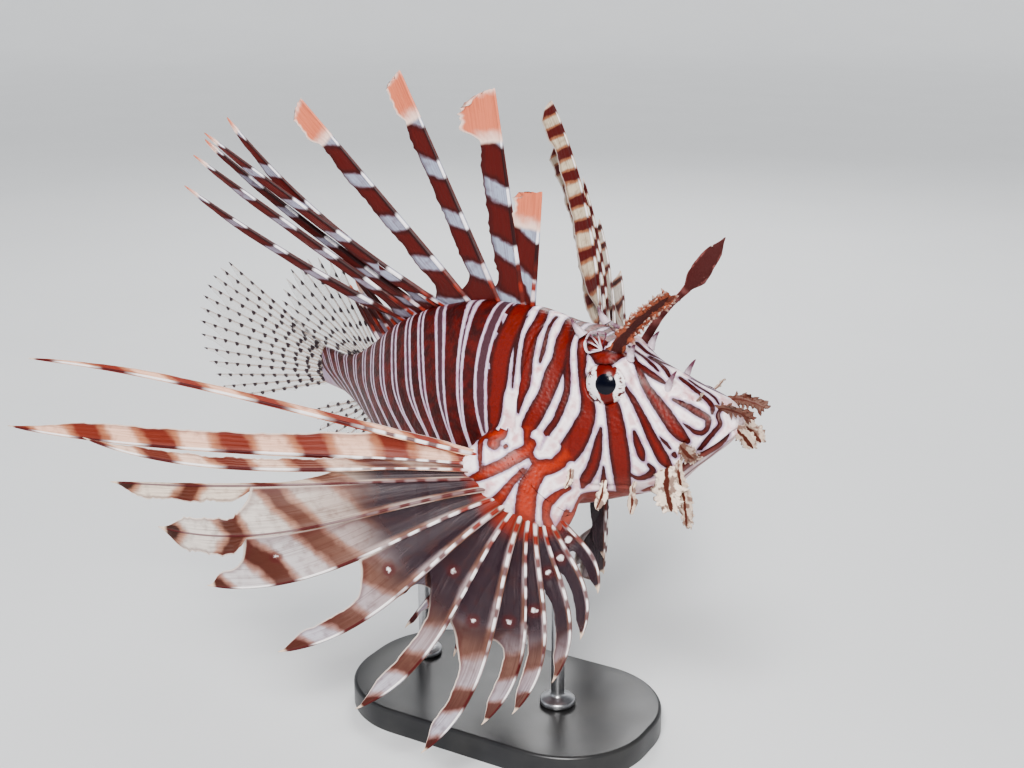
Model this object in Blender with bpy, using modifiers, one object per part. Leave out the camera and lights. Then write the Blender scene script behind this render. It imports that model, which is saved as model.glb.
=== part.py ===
"""Red lionfish, a still, life-size display model on a plain stand.

The fish looks along +X with its right side to -Y and its back to +Z. Its rear half swings to the left,
its right pectoral fan is spread flat beside it and its left one is raised behind it. The origin is the
centre of the underside of the stand's base. Sizes are metres, and MM turns millimetres into metres.
"""
import math
from dataclasses import dataclass, replace

import bmesh
import bpy
import numpy as np
from mathutils import Matrix, Vector

MM = 0.001
GAP = 0.3 * MM

# Body: the backbone line starts at the snout, dips towards the tail and swings left behind the shoulders
BODY_LENGTH = 230.0 * MM
SNOUT = Vector((93.8, 0.0, 137.8)) * MM
PITCH = 5.6
BEND_START = 60.0 * MM
BEND_END = 203.0 * MM
BEND_ANGLE = 31.0
TAIL_START = 148.0 * MM
HEAD_LENGTH = 76.0 * MM
BODY_SIDES = 28
HEAD_ROWS = 22
TORSO_ROWS = 10
TAIL_ROWS = 9

# Station from the snout, top, bottom, half width, and how much narrower the back is than the belly
BODY_PROFILE = (
    (0.0, 4.5, -2.5, 5.0, 0.00),
    (3.0, 8.0, -6.5, 8.5, 0.02),
    (8.0, 10.8, -10.6, 11.0, 0.05),
    (15.0, 13.6, -16.0, 12.8, 0.12),
    (23.8, 18.6, -23.5, 14.6, 0.18),
    (33.8, 24.0, -27.0, 15.6, 0.20),
    (45.8, 28.5, -30.0, 17.2, 0.20),
    (59.8, 34.5, -33.5, 19.6, 0.24),
    (77.8, 40.0, -36.0, 21.5, 0.30),
    (97.8, 41.5, -35.5, 21.5, 0.34),
    (121.8, 38.0, -32.0, 18.8, 0.34),
    (147.8, 29.5, -24.5, 14.4, 0.28),
    (169.8, 18.5, -16.5, 9.6, 0.20),
    (188.8, 11.0, -11.0, 6.4, 0.10),
    (207.8, 8.0, -8.6, 4.2, 0.00),
    (230.0, 8.4, -8.8, 2.0, 0.00),
)

# Rear edge of the gill cover: its station at each turn round the body, from the throat to the nape
GILL_EDGE = ((0.0, 48.0), (35.0, 56.0), (62.0, 68.0), (86.0, 75.5), (125.0, 73.5), (180.0, 67.0))
GILL_BLEND_START = 43.0
GILL_STEP = 1.0
GILL_STEP_REACH = 14.0

# Swellings and hollows of the head: station, turn from the throat, reach, height
HEAD_FORMS = {
    "brow": (41.0, 146.0, 8.0, 6.0),
    "rear brow": (53.0, 147.0, 7.0, 3.6),
    "forehead hollow": (36.0, 180.0, 7.0, -2.6),
    "snout bridge": (17.0, 180.0, 7.0, 0.8),
    "nostril hollow": (12.5, 142.0, 2.8, -1.3),
    "cheek ridge": (46.0, 84.0, 9.0, 1.0),
    "upper cheek": (26.0, 98.0, 7.0, 0.8),
    "maxilla end": (22.0, 64.0, 5.5, 1.6),
    "gill cover": (64.0, 92.0, 11.0, 1.4),
}

# Line where the lower jaw parts from the head, as station and height, from the lips to the throat
JAW_LINE = (
    (-5.0, 1.2), (-4.0, 0.8), (0.0, -0.6), (4.5, -4.6), (10.5, -8.6), (24.0, -17.0), (35.0, -24.0),
    (41.0, -40.0),
)
JAW_HALF_WIDTH = 13.4
JAW_BLOCK_LOW = -60.0
MOUTH_CORNER = 10.5
LIP_RADIUS = 1.15
LIP_RISE = 1.25

EYE_STATION = 43.6
EYE_HEIGHT = 15.5
EYE_SIDE = 11.2
EYE_RADIUS = 8.0
EYE_DEPTH = 6.4
LID_RADIUS = 0.9
LID_SPREAD = 0.2
LID_OUT = 2.6
LOBE_THICKNESS = 6.2

# Pectoral rays from the leading one down: reach, angle at the root, angle at the tip, bow towards the
# next ray, width of the free vane, and how many rows of its web reach the next ray
PECTORAL_ROWS = 8
PECTORAL_ROOT = 13.0
PECTORAL_RAYS = (
    (192.0, -22.0, -12.5, -3.0, 2.6, 2),
    (198.0, -11.0, -4.7, 1.0, 4.2, 2),
    (166.0, -1.0, -4.2, 5.0, 2.4, 3),
    (156.0, 10.0, 1.6, 2.0, 4.0, 5),
    (138.0, 24.0, 8.5, 2.5, 8.5, 6),
    (126.0, 40.0, 19.5, 3.0, 6.0, 4),
    (113.0, 54.0, 35.5, 2.0, 6.0, 3),
    (108.0, 67.0, 53.6, 2.5, 5.6, 4),
    (110.0, 79.0, 68.7, 4.0, 5.6, 4),
    (94.0, 90.0, 79.0, 4.6, 5.0, 4),
    (88.0, 99.0, 85.6, 4.6, 4.6, 3),
    (77.0, 107.0, 95.7, 4.4, 4.2, 3),
    (63.0, 113.5, 106.4, 3.4, 3.6, 3),
    (50.0, 119.5, 119.0, 2.6, 3.0, 0),
)
PECTORAL_RIPPLE = 1.2


@dataclass(frozen=True)
class Fan:
    """How one pectoral fin is held: angles in degrees, lengths in millimetres.

    Its rays fan out from the centre. The sweeps turn them out from the rear, spaced evenly from the leading
    ray to the last. The lean tips the whole flat, the cup bends the ray tips, and the feather turns the vanes
    about their rays.
    """

    side: int
    centre: tuple
    sweeps: tuple
    lean: float
    raised: float
    cup: float
    feather: float
    vane_scale: float
    lobe_centre: tuple
    lobe_radius: float
    lobe_sweep: float


FANS = {
    "right": Fan(side=-1, centre=(25.0, -24.0, 115.0), sweeps=(30.0, 30.0), lean=17.0, raised=0.0, cup=-6.0,
                 feather=0.0, vane_scale=1.0, lobe_centre=(20.0, -25.5, 108.0), lobe_radius=23.0,
                 lobe_sweep=30.0),
    "left": Fan(side=1, centre=(29.0, 26.0, 115.0),
                sweeps=(66.5, 69.5, 69.0, 72.2, 73.5, 73.0, 71.0, 68.0, 64.0, 61.0, 59.0, 58.0, 59.0, 60.0),
                lean=4.0, raised=24.0, cup=-7.8, feather=-55.0, vane_scale=2.2,
                lobe_centre=(26.0, 23.0, 112.0), lobe_radius=18.0, lobe_sweep=44.0),
}

PELVIC_ROWS = 7
PELVIC_ROOT = 3.0
PELVIC_RAYS = (
    (56.0, 44.0, 34.0, -1.0, 1.0, 5),
    (66.0, 52.0, 43.0, -1.0, 1.0, 5),
    (72.0, 60.0, 52.0, -1.0, 1.0, 5),
    (74.0, 68.0, 61.0, -1.5, 1.0, 5),
    (70.0, 76.0, 70.0, -1.5, 1.0, 4),
    (46.0, 84.0, 79.0, -1.0, 0.4, 0),
)
PELVIC_STATION, PELVIC_SIDE, PELVIC_SINK = 86.0, 8.0, 3.0
PELVIC_SWEEP, PELVIC_LEAN = 14.0, 8.0

# Dorsal spines: station of the root, length, rise above the rear, heading, vane width, paddle width, bow
DORSAL_ROWS = 8
DORSAL_SPINES = (
    (78.3, 42.0, 94.5, 0.0, 10.0, 1.6, 0.0),
    (82.3, 78.0, 81.0, 0.0, 10.0, 5.5, 0.0),
    (93.3, 93.0, 62.7, 0.0, 6.5, 2.2, 0.0),
    (107.8, 101.0, 46.0, -7.0, 5.6, 2.4, 0.0),
    (119.3, 114.0, 36.5, -10.7, 3.6, 0.8, 6.0),
    (124.3, 114.0, 34.0, -15.5, 3.0, 0.4, 0.0),
    (131.8, 114.0, 33.0, -9.5, 2.8, 0.8, 1.5),
    (138.8, 108.0, 34.0, -18.5, 2.6, 0.3, 0.0),
    (145.8, 106.0, 28.0, -15.0, 2.6, 0.3, 2.0),
    (152.8, 34.0, 42.0, 4.0, 2.0, 0.2, 0.0),
    (157.8, 27.0, 44.0, 8.0, 2.0, 0.2, 0.0),
    (162.8, 23.0, 46.0, 10.0, 2.0, 0.2, 0.0),
    (167.8, 27.0, 50.0, 12.0, 2.0, 0.2, 0.0),
)

# Soft fins on the midline: first and last root station, rays, first and last rise, heading, lengths
SOFT_DORSAL = (173.5, 198.5, 11, 58.0, 8.0, 12.0, (36.0, 48.0, 54.0, 52.0, 42.0))
ANAL = (165.5, 192.5, 9, -58.0, -20.0, 16.0, (20.0, 32.0, 42.0, 40.0, 34.0))
CAUDAL_RAYS = 13
CAUDAL_SPREAD = 22.0
CAUDAL_HEADING = 7.0
CAUDAL_RISE = 5.0
CAUDAL_LENGTHS = (70.0, 78.0, 84.0, 86.0, 84.0, 78.0, 70.0)

SPINE_THICKNESS = 2.4
RAY_THICKNESS = 1.5
MEMBRANE_THICKNESS = 0.55
RAY_MARGIN = 0.9
TIP_THICKNESS = 0.4

STAND_SIZE = (128.0, 76.0, 10.0)
STAND_CORNER = 34.0
ROD_RADIUS = 2.6
ROD_FOOT_RADIUS = 7.0
ROD_FOOT_HEIGHT = 3.0
ROD_STATIONS = {"stand_rod_front": 70.0, "stand_rod_rear": 140.0}

COLOURS = {
    "skin": ((0.42, 0.035, 0.02), 0.45),
    "fin": ((0.38, 0.10, 0.06), 0.5),
    "clear_fin": ((0.55, 0.45, 0.38), 0.4),
    "eye": ((0.01, 0.01, 0.02), 0.1),
    "tentacle": ((0.35, 0.07, 0.04), 0.5),
    "stand": ((0.02, 0.02, 0.022), 0.35),
}

# The first word found in a piece's name picks its colour
COLOUR_OF = (
    ("eye", "eye"), ("tentacle", "tentacle"), ("stand", "stand"), ("soft", "clear_fin"),
    ("anal", "clear_fin"), ("caudal", "clear_fin"), ("fin", "fin"),
)

# The exact solver loses some of the thin, folded fins, so they are cut by the other one
THIN_SOLVER = "MANIFOLD"


def smooth_through(knots, values, where):
    """A smooth line through the knots that never overshoots them."""
    knots = np.asarray(knots, float)
    values = np.asarray(values, float)
    slope = np.diff(values) / np.diff(knots)
    tangent = np.empty_like(values)
    tangent[0], tangent[-1] = slope[0], slope[-1]
    product = slope[:-1] * slope[1:]
    total = np.where(product > 0, slope[:-1] + slope[1:], 1.0)
    tangent[1:-1] = np.where(product > 0, 2 * product / total, 0.0)
    where = min(max(where, knots[0]), knots[-1])
    i = min(max(int(np.searchsorted(knots, where)) - 1, 0), len(knots) - 2)
    width = knots[i + 1] - knots[i]
    t = (where - knots[i]) / width
    rise = t * t * (3 - 2 * t)
    leave = t * (1 - t) ** 2 * width * tangent[i]
    arrive = t * t * (1 - t) * width * tangent[i + 1]
    return float(values[i] * (1 - rise) + values[i + 1] * rise + leave - arrive)


def ease(x):
    """Rises smoothly from 0 to 1 as x goes from 0 to 1."""
    x = min(max(x, 0.0), 1.0)
    return x * x * (3 - 2 * x)


def heading_vector(heading, rise=0.0):
    """A unit vector that points to the rear, swung left by the heading and lifted by the rise, in degrees."""
    h, r = math.radians(heading), math.radians(rise)
    return Vector((-math.cos(h) * math.cos(r), math.sin(h) * math.cos(r), math.sin(r)))


def body_heading(station):
    """How far the backbone has swung left at a station, in degrees."""
    return BEND_ANGLE * ease((station * MM - BEND_START) / (BEND_END - BEND_START))


def trace_backbone():
    """Points of the backbone line, one for each millimetre from the snout."""
    points = [SNOUT.copy()]
    for step in range(int(BODY_LENGTH / MM) + 12):
        points.append(points[-1] + heading_vector(body_heading(step + 0.5), -PITCH) * MM)
    return points


BACKBONE = trace_backbone()


def mirrored(point, side):
    """A point given for the left side, on the asked side."""
    return (point[0], side * point[1], point[2])


def backbone_frame(station):
    """Point, left and up vectors of the backbone at a station in millimetres."""
    whole = min(max(int(math.floor(station)), 0), len(BACKBONE) - 2)
    point = BACKBONE[whole].lerp(BACKBONE[whole + 1], station - whole)
    rear = heading_vector(body_heading(station), -PITCH)
    left = Vector((0, 0, 1)).cross(-rear).normalized()
    return point, left, left.cross(rear).normalized()


def section(station):
    """Middle height, half height, half width and narrowing of the body at a station."""
    stations = [row[0] for row in BODY_PROFILE]
    top, bottom, half, narrow = (
        smooth_through(stations, [row[i] for row in BODY_PROFILE], station) for i in (1, 2, 3, 4)
    )
    return (top + bottom) / 2, (top - bottom) / 2, half, narrow


def plain_skin(station, turn, side, grow=0.0):
    """A point of the plain body: turn is 0 at the belly and 180 on the back, side is -1 right or 1 left."""
    middle, half_height, half_width, narrow = section(station)
    point, left, up = backbone_frame(station)
    c, s = math.cos(math.radians(turn)), math.sin(math.radians(turn))
    across = side * (half_width * abs(s) ** 0.9 * (1 + narrow * c) + grow * s)
    return point + (left * across + up * (middle - (half_height + grow) * c)) * MM


def head_bumps():
    """Centre, reach and height of each swelling, on both sides of the head."""
    bumps = []
    for station, turn, reach, height in HEAD_FORMS.values():
        for side in (-1, 1) if 0 < turn < 180 else (1,):
            bumps.append((plain_skin(station, turn, side), reach * MM, height))
    return bumps


BUMPS = head_bumps()


def gill_edge(turn):
    """Station of the gill cover's rear edge at a turn."""
    return smooth_through([row[0] for row in GILL_EDGE], [row[1] for row in GILL_EDGE], turn)


def head_skin(station, turn, side, grow=0.0):
    """A point of the head, with its swellings and the raised edge of the gill cover."""
    point = plain_skin(station, turn, side)
    step = GILL_STEP * ease((station - gill_edge(turn)) / GILL_STEP_REACH + 1)
    step *= math.sin(math.radians(turn)) ** 2
    swell = sum(h * math.exp(-((point - c).length / r) ** 2) for c, r, h in BUMPS)
    return plain_skin(station, turn, side, grow + step + swell)


def turn_at(station, height):
    """The turn at which the body's side has a given height over the backbone line."""
    middle, half_height, _, _ = section(station)
    return math.degrees(math.acos(max(-1.0, min(1.0, (middle - height) / half_height))))


def ring(skin, station_at, grow=0.0):
    """A closed ring of skin points; station_at gives the station at each turn."""
    points = []
    for i in range(BODY_SIDES):
        angle = 360.0 * i / BODY_SIDES
        turn = angle if angle <= 180 else 360 - angle
        points.append(skin(station_at(turn), turn, -1 if angle <= 180 else 1, grow))
    return points


def link(piece, collection):
    """Puts an object in one collection and nowhere else."""
    for old in list(piece.users_collection):
        old.objects.unlink(piece)
    collection.objects.link(piece)
    return piece


def mesh_object(name, points, faces, collection):
    """A new object from points and faces, its faces turned outwards and split into triangles."""
    mesh = bpy.data.meshes.new(name)
    mesh.from_pydata([tuple(p) for p in points], [], faces)
    work = bmesh.new()
    work.from_mesh(mesh)
    bmesh.ops.recalc_face_normals(work, faces=work.faces)
    bmesh.ops.triangulate(work, faces=work.faces)
    work.to_mesh(mesh)
    work.free()
    piece = bpy.data.objects.new(name, mesh)
    collection.objects.link(piece)
    return piece


def loft(name, rings, collection, tip=None):
    """A closed tube through rings of equal count, capped from the middle of its ends or drawn to a tip."""
    count = len(rings[0])
    points = [p for one in rings for p in one]
    faces = []
    for r in range(len(rings) - 1):
        for i in range(count):
            a, b = r * count + i, r * count + (i + 1) % count
            faces.append((a, b, b + count, a + count))
    first, last = (sum(rings[i], Vector()) / count for i in (0, -1))
    for row, middle in ((0, first), (len(rings) - 1, tip or last)):
        points.append(middle)
        faces += [(row * count + i, row * count + (i + 1) % count, len(points) - 1) for i in range(count)]
    return mesh_object(name, points, faces, collection)


def bake(piece):
    """Applies an object's modifiers and keeps only its largest closed surface."""
    bpy.context.view_layer.update()
    graph = bpy.context.evaluated_depsgraph_get()
    mesh = bpy.data.meshes.new_from_object(piece.evaluated_get(graph))
    piece.modifiers.clear()
    piece.data = mesh
    work = bmesh.new()
    work.from_mesh(mesh)
    bmesh.ops.remove_doubles(work, verts=work.verts, dist=0.002 * MM)
    bmesh.ops.dissolve_degenerate(work, edges=work.edges, dist=0.002 * MM)
    islands, seen = [], set()
    for start in work.verts:
        if start in seen:
            continue
        seen.add(start)
        island, queue = [], [start]
        while queue:
            vert = queue.pop()
            island.append(vert)
            for edge in vert.link_edges:
                other = edge.other_vert(vert)
                if other not in seen:
                    seen.add(other)
                    queue.append(other)
        islands.append(island)
    islands.sort(key=lambda island: sum(f.calc_area() for v in island for f in v.link_faces))
    loose = [vert for island in islands[:-1] for vert in island]
    bmesh.ops.delete(work, geom=loose, context="VERTS")
    work.to_mesh(mesh)
    work.free()
    return piece


def carve(piece, tools, operation="DIFFERENCE", solver="EXACT"):
    """Cuts a piece with each tool in turn, or keeps only what lies inside them."""
    for tool in tools:
        cut = piece.modifiers.new(tool.name, "BOOLEAN")
        cut.operation = operation
        cut.solver = solver
        cut.object = tool
    return bake(piece)


def fuse(piece, additions):
    """Joins a collection of closed pieces to one object and removes them."""
    join = piece.modifiers.new("join", "BOOLEAN")
    join.operation = "UNION"
    join.operand_type = "COLLECTION"
    join.collection = additions
    bake(piece)
    for extra in list(additions.objects):
        bpy.data.objects.remove(extra)
    bpy.data.collections.remove(additions)
    return piece


def scratch(name):
    """A collection for pieces that are about to be joined to another."""
    collection = bpy.data.collections.new(name)
    bpy.context.scene.collection.children.link(collection)
    return collection


def blade(name, path, half_widths, half_thickness, across, collection, rows=9, frill=0.0):
    """A tapered, flattened frond along a smooth path; a frill makes its edges wavy."""
    knots = np.linspace(0, 1, len(path))
    widths = np.linspace(0, 1, len(half_widths))
    line = [
        Vector([smooth_through(knots, [p[k] for p in path], t) for k in range(3)]) * MM
        for t in np.linspace(0, 1, rows + 1)
    ]
    rings = []
    for j, point in enumerate(line[:-1]):
        t = j / rows
        along = (line[min(j + 1, rows)] - line[max(j - 1, 0)]).normalized()
        wide = (Vector(across) - along * along.dot(Vector(across))).normalized()
        thin = along.cross(wide)
        half = smooth_through(widths, half_widths, t) * (1 + frill * (-1) ** j)
        thick = half_thickness * (1 - 0.5 * t)
        rings.append([
            point + (wide * half * math.cos(a) + thin * thick * math.sin(a)) * MM
            for a in np.linspace(0, 2 * math.pi, 6, endpoint=False)
        ])
    return loft(name, rings, collection, tip=line[-1])


class Ray:
    """One spine or ray of a fin: where it runs, how wide its vane is and how far its web reaches."""

    def __init__(self, start, tip, across, bow, vane, notch, paddle=0.0, thickness=RAY_THICKNESS, collar=0.0):
        self.start, self.tip = start, tip
        self.across, self.bow = across, bow
        self.vane, self.notch = vane, notch
        self.paddle, self.thickness = paddle, thickness
        self.collar = collar
        self.vane_across = across

    def place(self, row, rows):
        """How far along the ray a row lies, from 0 to 1; a collar sets the first row at its own height."""
        if not self.collar or row == 0:
            return row / rows
        first = self.collar / (self.tip - self.start).length
        return first + (1 - first) * (row - 1) / (rows - 1)

    def middle(self, t):
        """The ray's own line, from root to tip."""
        return self.start.lerp(self.tip, t) + self.bow * (4 * t * (1 - t))

    def free_width(self, row, rows):
        """Width of the vane behind the ray where no web joins it to the next, in millimetres."""
        q = (row - self.notch) / (rows - self.notch)
        body = self.vane * ease(q / 0.25 + 0.35) * ease((1 - q) / 0.35)
        return body + self.paddle * math.exp(-((q - 0.86) / 0.13) ** 2) + 0.5


def fin_sheet(name, rays, rows, collection):
    """One fin: a thin sheet with a thicker ridge along each ray, split between rays beyond their web."""
    points, weights, faces = [], [], []
    thickest = max(ray.thickness for ray in rays)

    def add(point, thickness):
        points.append(point)
        weights.append(thickness / thickest)
        return len(points) - 1

    lead, ridge, tips = [], [], []
    for ray in rays:
        lead.append([])
        ridge.append([])
        for j in range(rows):
            t = ray.place(j, rows)
            thick = ray.thickness * (1 - t) + TIP_THICKNESS * t
            margin = RAY_MARGIN * (1 - 0.6 * t)
            lead[-1].append(add(ray.middle(t) - ray.across * margin * MM, min(thick, MEMBRANE_THICKNESS)))
            ridge[-1].append(add(ray.middle(t), thick))
        tips.append(add(ray.tip, TIP_THICKNESS))
    for i, ray in enumerate(rays):
        trail = []
        for j in range(rows):
            if i + 1 < len(rays) and j <= ray.notch:
                trail.append(lead[i + 1][j])
            else:
                free = ray.vane_across * ray.free_width(j, rows) * MM
                trail.append(add(ray.middle(ray.place(j, rows)) + free, MEMBRANE_THICKNESS))
        for j in range(rows - 1):
            faces.append((lead[i][j], ridge[i][j], ridge[i][j + 1], lead[i][j + 1]))
            faces.append((ridge[i][j], trail[j], trail[j + 1], ridge[i][j + 1]))
        faces.append((lead[i][-1], ridge[i][-1], tips[i]))
        faces.append((ridge[i][-1], trail[-1], tips[i]))
    sheet = mesh_object(name, points, faces, collection)
    group = sheet.vertex_groups.new(name="thickness")
    for index, weight in enumerate(weights):
        group.add([index], weight, "REPLACE")
    shell = sheet.modifiers.new("thickness", "SOLIDIFY")
    shell.thickness = thickest * MM
    shell.offset = 0.0
    shell.vertex_group = "thickness"
    return bake(sheet)


def fan_axes(side, sweep, lean):
    """Outward, downward and facing vectors of a paired fin's flat."""
    s, l = math.radians(sweep), math.radians(lean)
    outward = heading_vector(side * sweep)
    facing = Vector((math.sin(s) * math.cos(l), side * math.cos(s) * math.cos(l), math.sin(l)))
    return outward, outward.cross(facing) * side, facing


def fan_rays(table, fan, root, ripple=0.0):
    """Rays of a paired fin that open like a fan from its centre."""
    rays = []
    knots = np.linspace(0, 1, len(fan.sweeps))
    centre = Vector(fan.centre) * MM
    for i, (reach, root_angle, tip_angle, bow, vane, notch) in enumerate(table):
        sweep = smooth_through(knots, fan.sweeps, i / (len(table) - 1))
        outward, down, facing = fan_axes(fan.side, sweep, fan.lean)

        def at(radius, angle, i=i, outward=outward, down=down, facing=facing):
            a = math.radians(angle - fan.raised)
            dip = fan.cup * (radius / 100.0) ** 2 + ripple * (-1) ** i * radius / 100.0
            return centre + (outward * math.cos(a) + down * math.sin(a)) * radius * MM + facing * dip * MM

        start, tip = at(root, root_angle), at(reach, tip_angle)
        along = (tip - start).normalized()
        across = at(reach, tip_angle + 2.0) - tip
        across = (across - along * along.dot(across)).normalized()
        bulge = facing * -fan.cup * (reach / 100.0) ** 2 / 4
        ray = Ray(start, tip, across, across * bow * MM + bulge * MM, vane * fan.vane_scale, notch)
        ray.vane_across = Matrix.Rotation(math.radians(-fan.side * fan.feather), 3, along) @ across
        rays.append(ray)
    return rays


def midline_ray(station, top, length, rise, heading, vane, notch, sink=4.0, web=0.0, paddle=0.0,
                thickness=RAY_THICKNESS, bow=0.0):
    """A ray that stands on the midline of the back, or of the belly where top is false."""
    along = heading_vector(heading, rise)
    root = plain_skin(station, 180 if top else 0, 1)
    upright = heading_vector(heading, rise + 90)
    across = -upright if top else upright
    start = root - along * sink * MM
    collar = (sink + web) * MM if web else 0.0
    tip = root + along * length * MM
    return Ray(start, tip, across, across * bow * MM, vane, notch, paddle, thickness, collar)


def make_guards(cutters):
    """Slightly swollen copies of the body, the head, and the pectoral lobes, which cut what meets them."""
    rows = [BODY_LENGTH / MM * i / 46 for i in range(47)]
    body = loft("body_guard", [ring(plain_skin, lambda _, s=s: s, 0.3) for s in rows], cutters)
    head = loft("head_guard", head_rings(0.35, 0.4), cutters)
    return body, head


def head_rings(grow=0.0, lengthen=0.0):
    """Rings of the head from the snout to the edge of the gill cover."""
    rings = []
    for row in range(HEAD_ROWS + 1):
        flat = (HEAD_LENGTH / MM) * (row / HEAD_ROWS) ** 1.35

        def station_at(turn, flat=flat):
            if flat <= GILL_BLEND_START:
                return flat
            blend = (flat - GILL_BLEND_START) / (HEAD_LENGTH / MM - GILL_BLEND_START)
            edge = gill_edge(turn) + lengthen
            return GILL_BLEND_START + blend * (edge - GILL_BLEND_START)

        rings.append(ring(head_skin, station_at, grow))
    return rings


def prism(name, outline, half_width, collection):
    """A block whose side view is an outline of stations and heights, as deep as twice the half width."""
    near, far = [], []
    for station, height in outline:
        middle = SNOUT + heading_vector(0, -PITCH) * station * MM + Vector((0, 0, height * MM))
        near.append(middle - Vector((0, half_width * MM, 0)))
        far.append(middle + Vector((0, half_width * MM, 0)))
    count = len(outline)
    faces = [tuple(range(count)), tuple(range(2 * count - 1, count - 1, -1))]
    faces += [(i, (i + 1) % count, count + (i + 1) % count, count + i) for i in range(count)]
    return mesh_object(name, near + far, faces, collection)


def jaw_block(name, room, front, cutters):
    """The region of the lower jaw, with some room round it, from its front station to the throat."""
    line = [(s + room, h + room) for s, h in JAW_LINE if s > front]
    top = smooth_through(*zip(*JAW_LINE), front) + room
    outline = [(front, top)] + line + [(JAW_LINE[-1][0] + room, JAW_BLOCK_LOW), (front, JAW_BLOCK_LOW)]
    return prism(name, outline, JAW_HALF_WIDTH + room, cutters)


def lip(name, rise, collection):
    """A rounded lip along the line of the mouth, from one corner round the front to the other."""
    stations = [s for s, _ in JAW_LINE[1:4]]
    heights = [h for _, h in JAW_LINE[1:4]]
    path = []
    for side in (-1, 1):
        half = []
        for t in np.linspace(1, 0, 7):
            station = MOUTH_CORNER * t + 0.15
            height = smooth_through(stations, heights, station) + rise
            half.append(head_skin(station, turn_at(station, height), side, -0.35))
        path += half if side < 0 else half[::-1]
    rings = []
    for j, point in enumerate(path):
        along = (path[min(j + 1, len(path) - 1)] - path[max(j - 1, 0)]).normalized()
        wide = along.cross(Vector((0, 0, 1))).normalized()
        thin = along.cross(wide)
        radius = LIP_RADIUS * (0.55 + 0.45 * math.sin(math.pi * (j + 0.5) / len(path)))
        rings.append([
            point + (wide * math.cos(a) + thin * math.sin(a)) * radius * MM
            for a in np.linspace(0, 2 * math.pi, 6, endpoint=False)
        ])
    return loft(name, rings, collection)


def eye_matrix(side):
    """Place and direction of an eye, whose own Z axis points out of the head."""
    point, left, up = backbone_frame(EYE_STATION)
    centre = point + (left * side * EYE_SIDE + up * EYE_HEIGHT) * MM
    look = (left * side + up * 0.12 + Vector((0.16, 0, 0))).normalized()
    return Matrix.Translation(centre) @ look.to_track_quat("Z", "Y").to_matrix().to_4x4()


def eyeball(name, side, grow, collection):
    """A flattened eyeball."""
    bpy.ops.mesh.primitive_uv_sphere_add(segments=18, ring_count=10, radius=1.0)
    eye = link(bpy.context.object, collection)
    eye.name = name
    size = Vector((EYE_RADIUS + grow, EYE_RADIUS + grow, EYE_DEPTH + grow)) * MM
    eye.data.transform(eye_matrix(side) @ Matrix.Diagonal((*size, 1)))
    return eye


def lid(name, side, collection):
    """The raised rim of the orbit."""
    bpy.ops.mesh.primitive_torus_add(
        major_segments=20, minor_segments=6,
        major_radius=(EYE_RADIUS + LID_SPREAD) * MM, minor_radius=LID_RADIUS * MM,
    )
    rim = link(bpy.context.object, collection)
    rim.name = name
    rim.data.transform(eye_matrix(side) @ Matrix.Translation((0, 0, LID_OUT * MM)))
    return rim


def lobe(name, fan, grow, collection):
    """The fleshy base of a pectoral fin, a flat dome on the flank."""
    centre = Vector(fan.lobe_centre) * MM
    bpy.ops.mesh.primitive_uv_sphere_add(segments=20, ring_count=10, radius=1.0)
    dome = link(bpy.context.object, collection)
    dome.name = name
    size = Vector((fan.lobe_radius + grow, fan.lobe_radius + grow, LOBE_THICKNESS + grow)) * MM
    turn = fan_axes(fan.side, fan.lobe_sweep, fan.lean)[2].to_track_quat("Z", "Y").to_matrix().to_4x4()
    dome.data.transform(Matrix.Translation(centre) @ turn @ Matrix.Diagonal((*size, 1)))
    return dome


def cone(name, base, tip, radius, collection):
    """A small horn."""
    base, tip = Vector(base) * MM, Vector(tip) * MM
    bpy.ops.mesh.primitive_cone_add(
        vertices=7, radius1=radius * MM, radius2=0.12 * MM, depth=(tip - base).length
    )
    horn = link(bpy.context.object, collection)
    horn.name = name
    turn = (tip - base).to_track_quat("Z", "Y").to_matrix().to_4x4()
    horn.data.transform(Matrix.Translation((base + tip) / 2) @ turn)
    return horn


# Fronds of the head: path, half widths, half thickness, direction of their width, frill
FRONDS = {
    "nostril_frond": (
        ((86, 5.4, 143.5), (91, 6.0, 145.0), (96, 6.4, 144.5), (101, 6.8, 143.0)),
        (1.4, 2.6, 2.6, 1.4, 0.4), 0.7, (0, 0.35, 1), 0.22,
    ),
    "lip_flap": (
        ((91.5, 3.0, 138), (96.6, 3.2, 135.6), (99.6, 3.4, 132), (102.5, 3.6, 129)),
        (1.2, 2.6, 3.8, 3.2, 0.8), 0.7, (0.3, 0.2, 1), 0.22,
    ),
    "cheek_flap": (
        ((74, 12.5, 124.5), (74.6, 16.2, 120), (76.4, 17.4, 113), (78.5, 17.8, 107)),
        (2.2, 4.0, 4.8, 4.2, 1.0), 0.8, (1, 0.2, 0), 0.15,
    ),
    "cheek_flap_front": (
        ((77, 11.5, 127), (79.2, 15.8, 122.5), (82.2, 16.8, 112), (83.5, 17.0, 101.5)),
        (1.3, 1.4, 2.3, 2.9, 0.6), 0.8, (1, 0.2, 0), 0.2,
    ),
    "jaw_tab_front": (
        ((61, 11.2, 115.5), (61.4, 15.2, 113), (61.6, 15.8, 108), (61, 16, 103)),
        (1.0, 0.9, 1.5, 0.6), 0.6, (1, 0, 0), 0.0,
    ),
    "jaw_tab_rear": (
        ((50, 14, 116), (50.5, 17, 110), (48.5, 18, 104)),
        (1.0, 0.9, 1.7, 0.7), 0.6, (1, 0, 0), 0.0,
    ),
    "gill_tab": (
        ((38, 17.5, 120), (39, 20, 115), (37, 20.5, 111)),
        (0.9, 1.0, 0.9, 0.5), 0.6, (1, 0, 0), 0.0,
    ),
}

# Fronds that trail back on the left side, and how far in degrees
FOLDED_FRONDS = {"cheek_flap": 62.0, "cheek_flap_front": 66.0}

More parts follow.
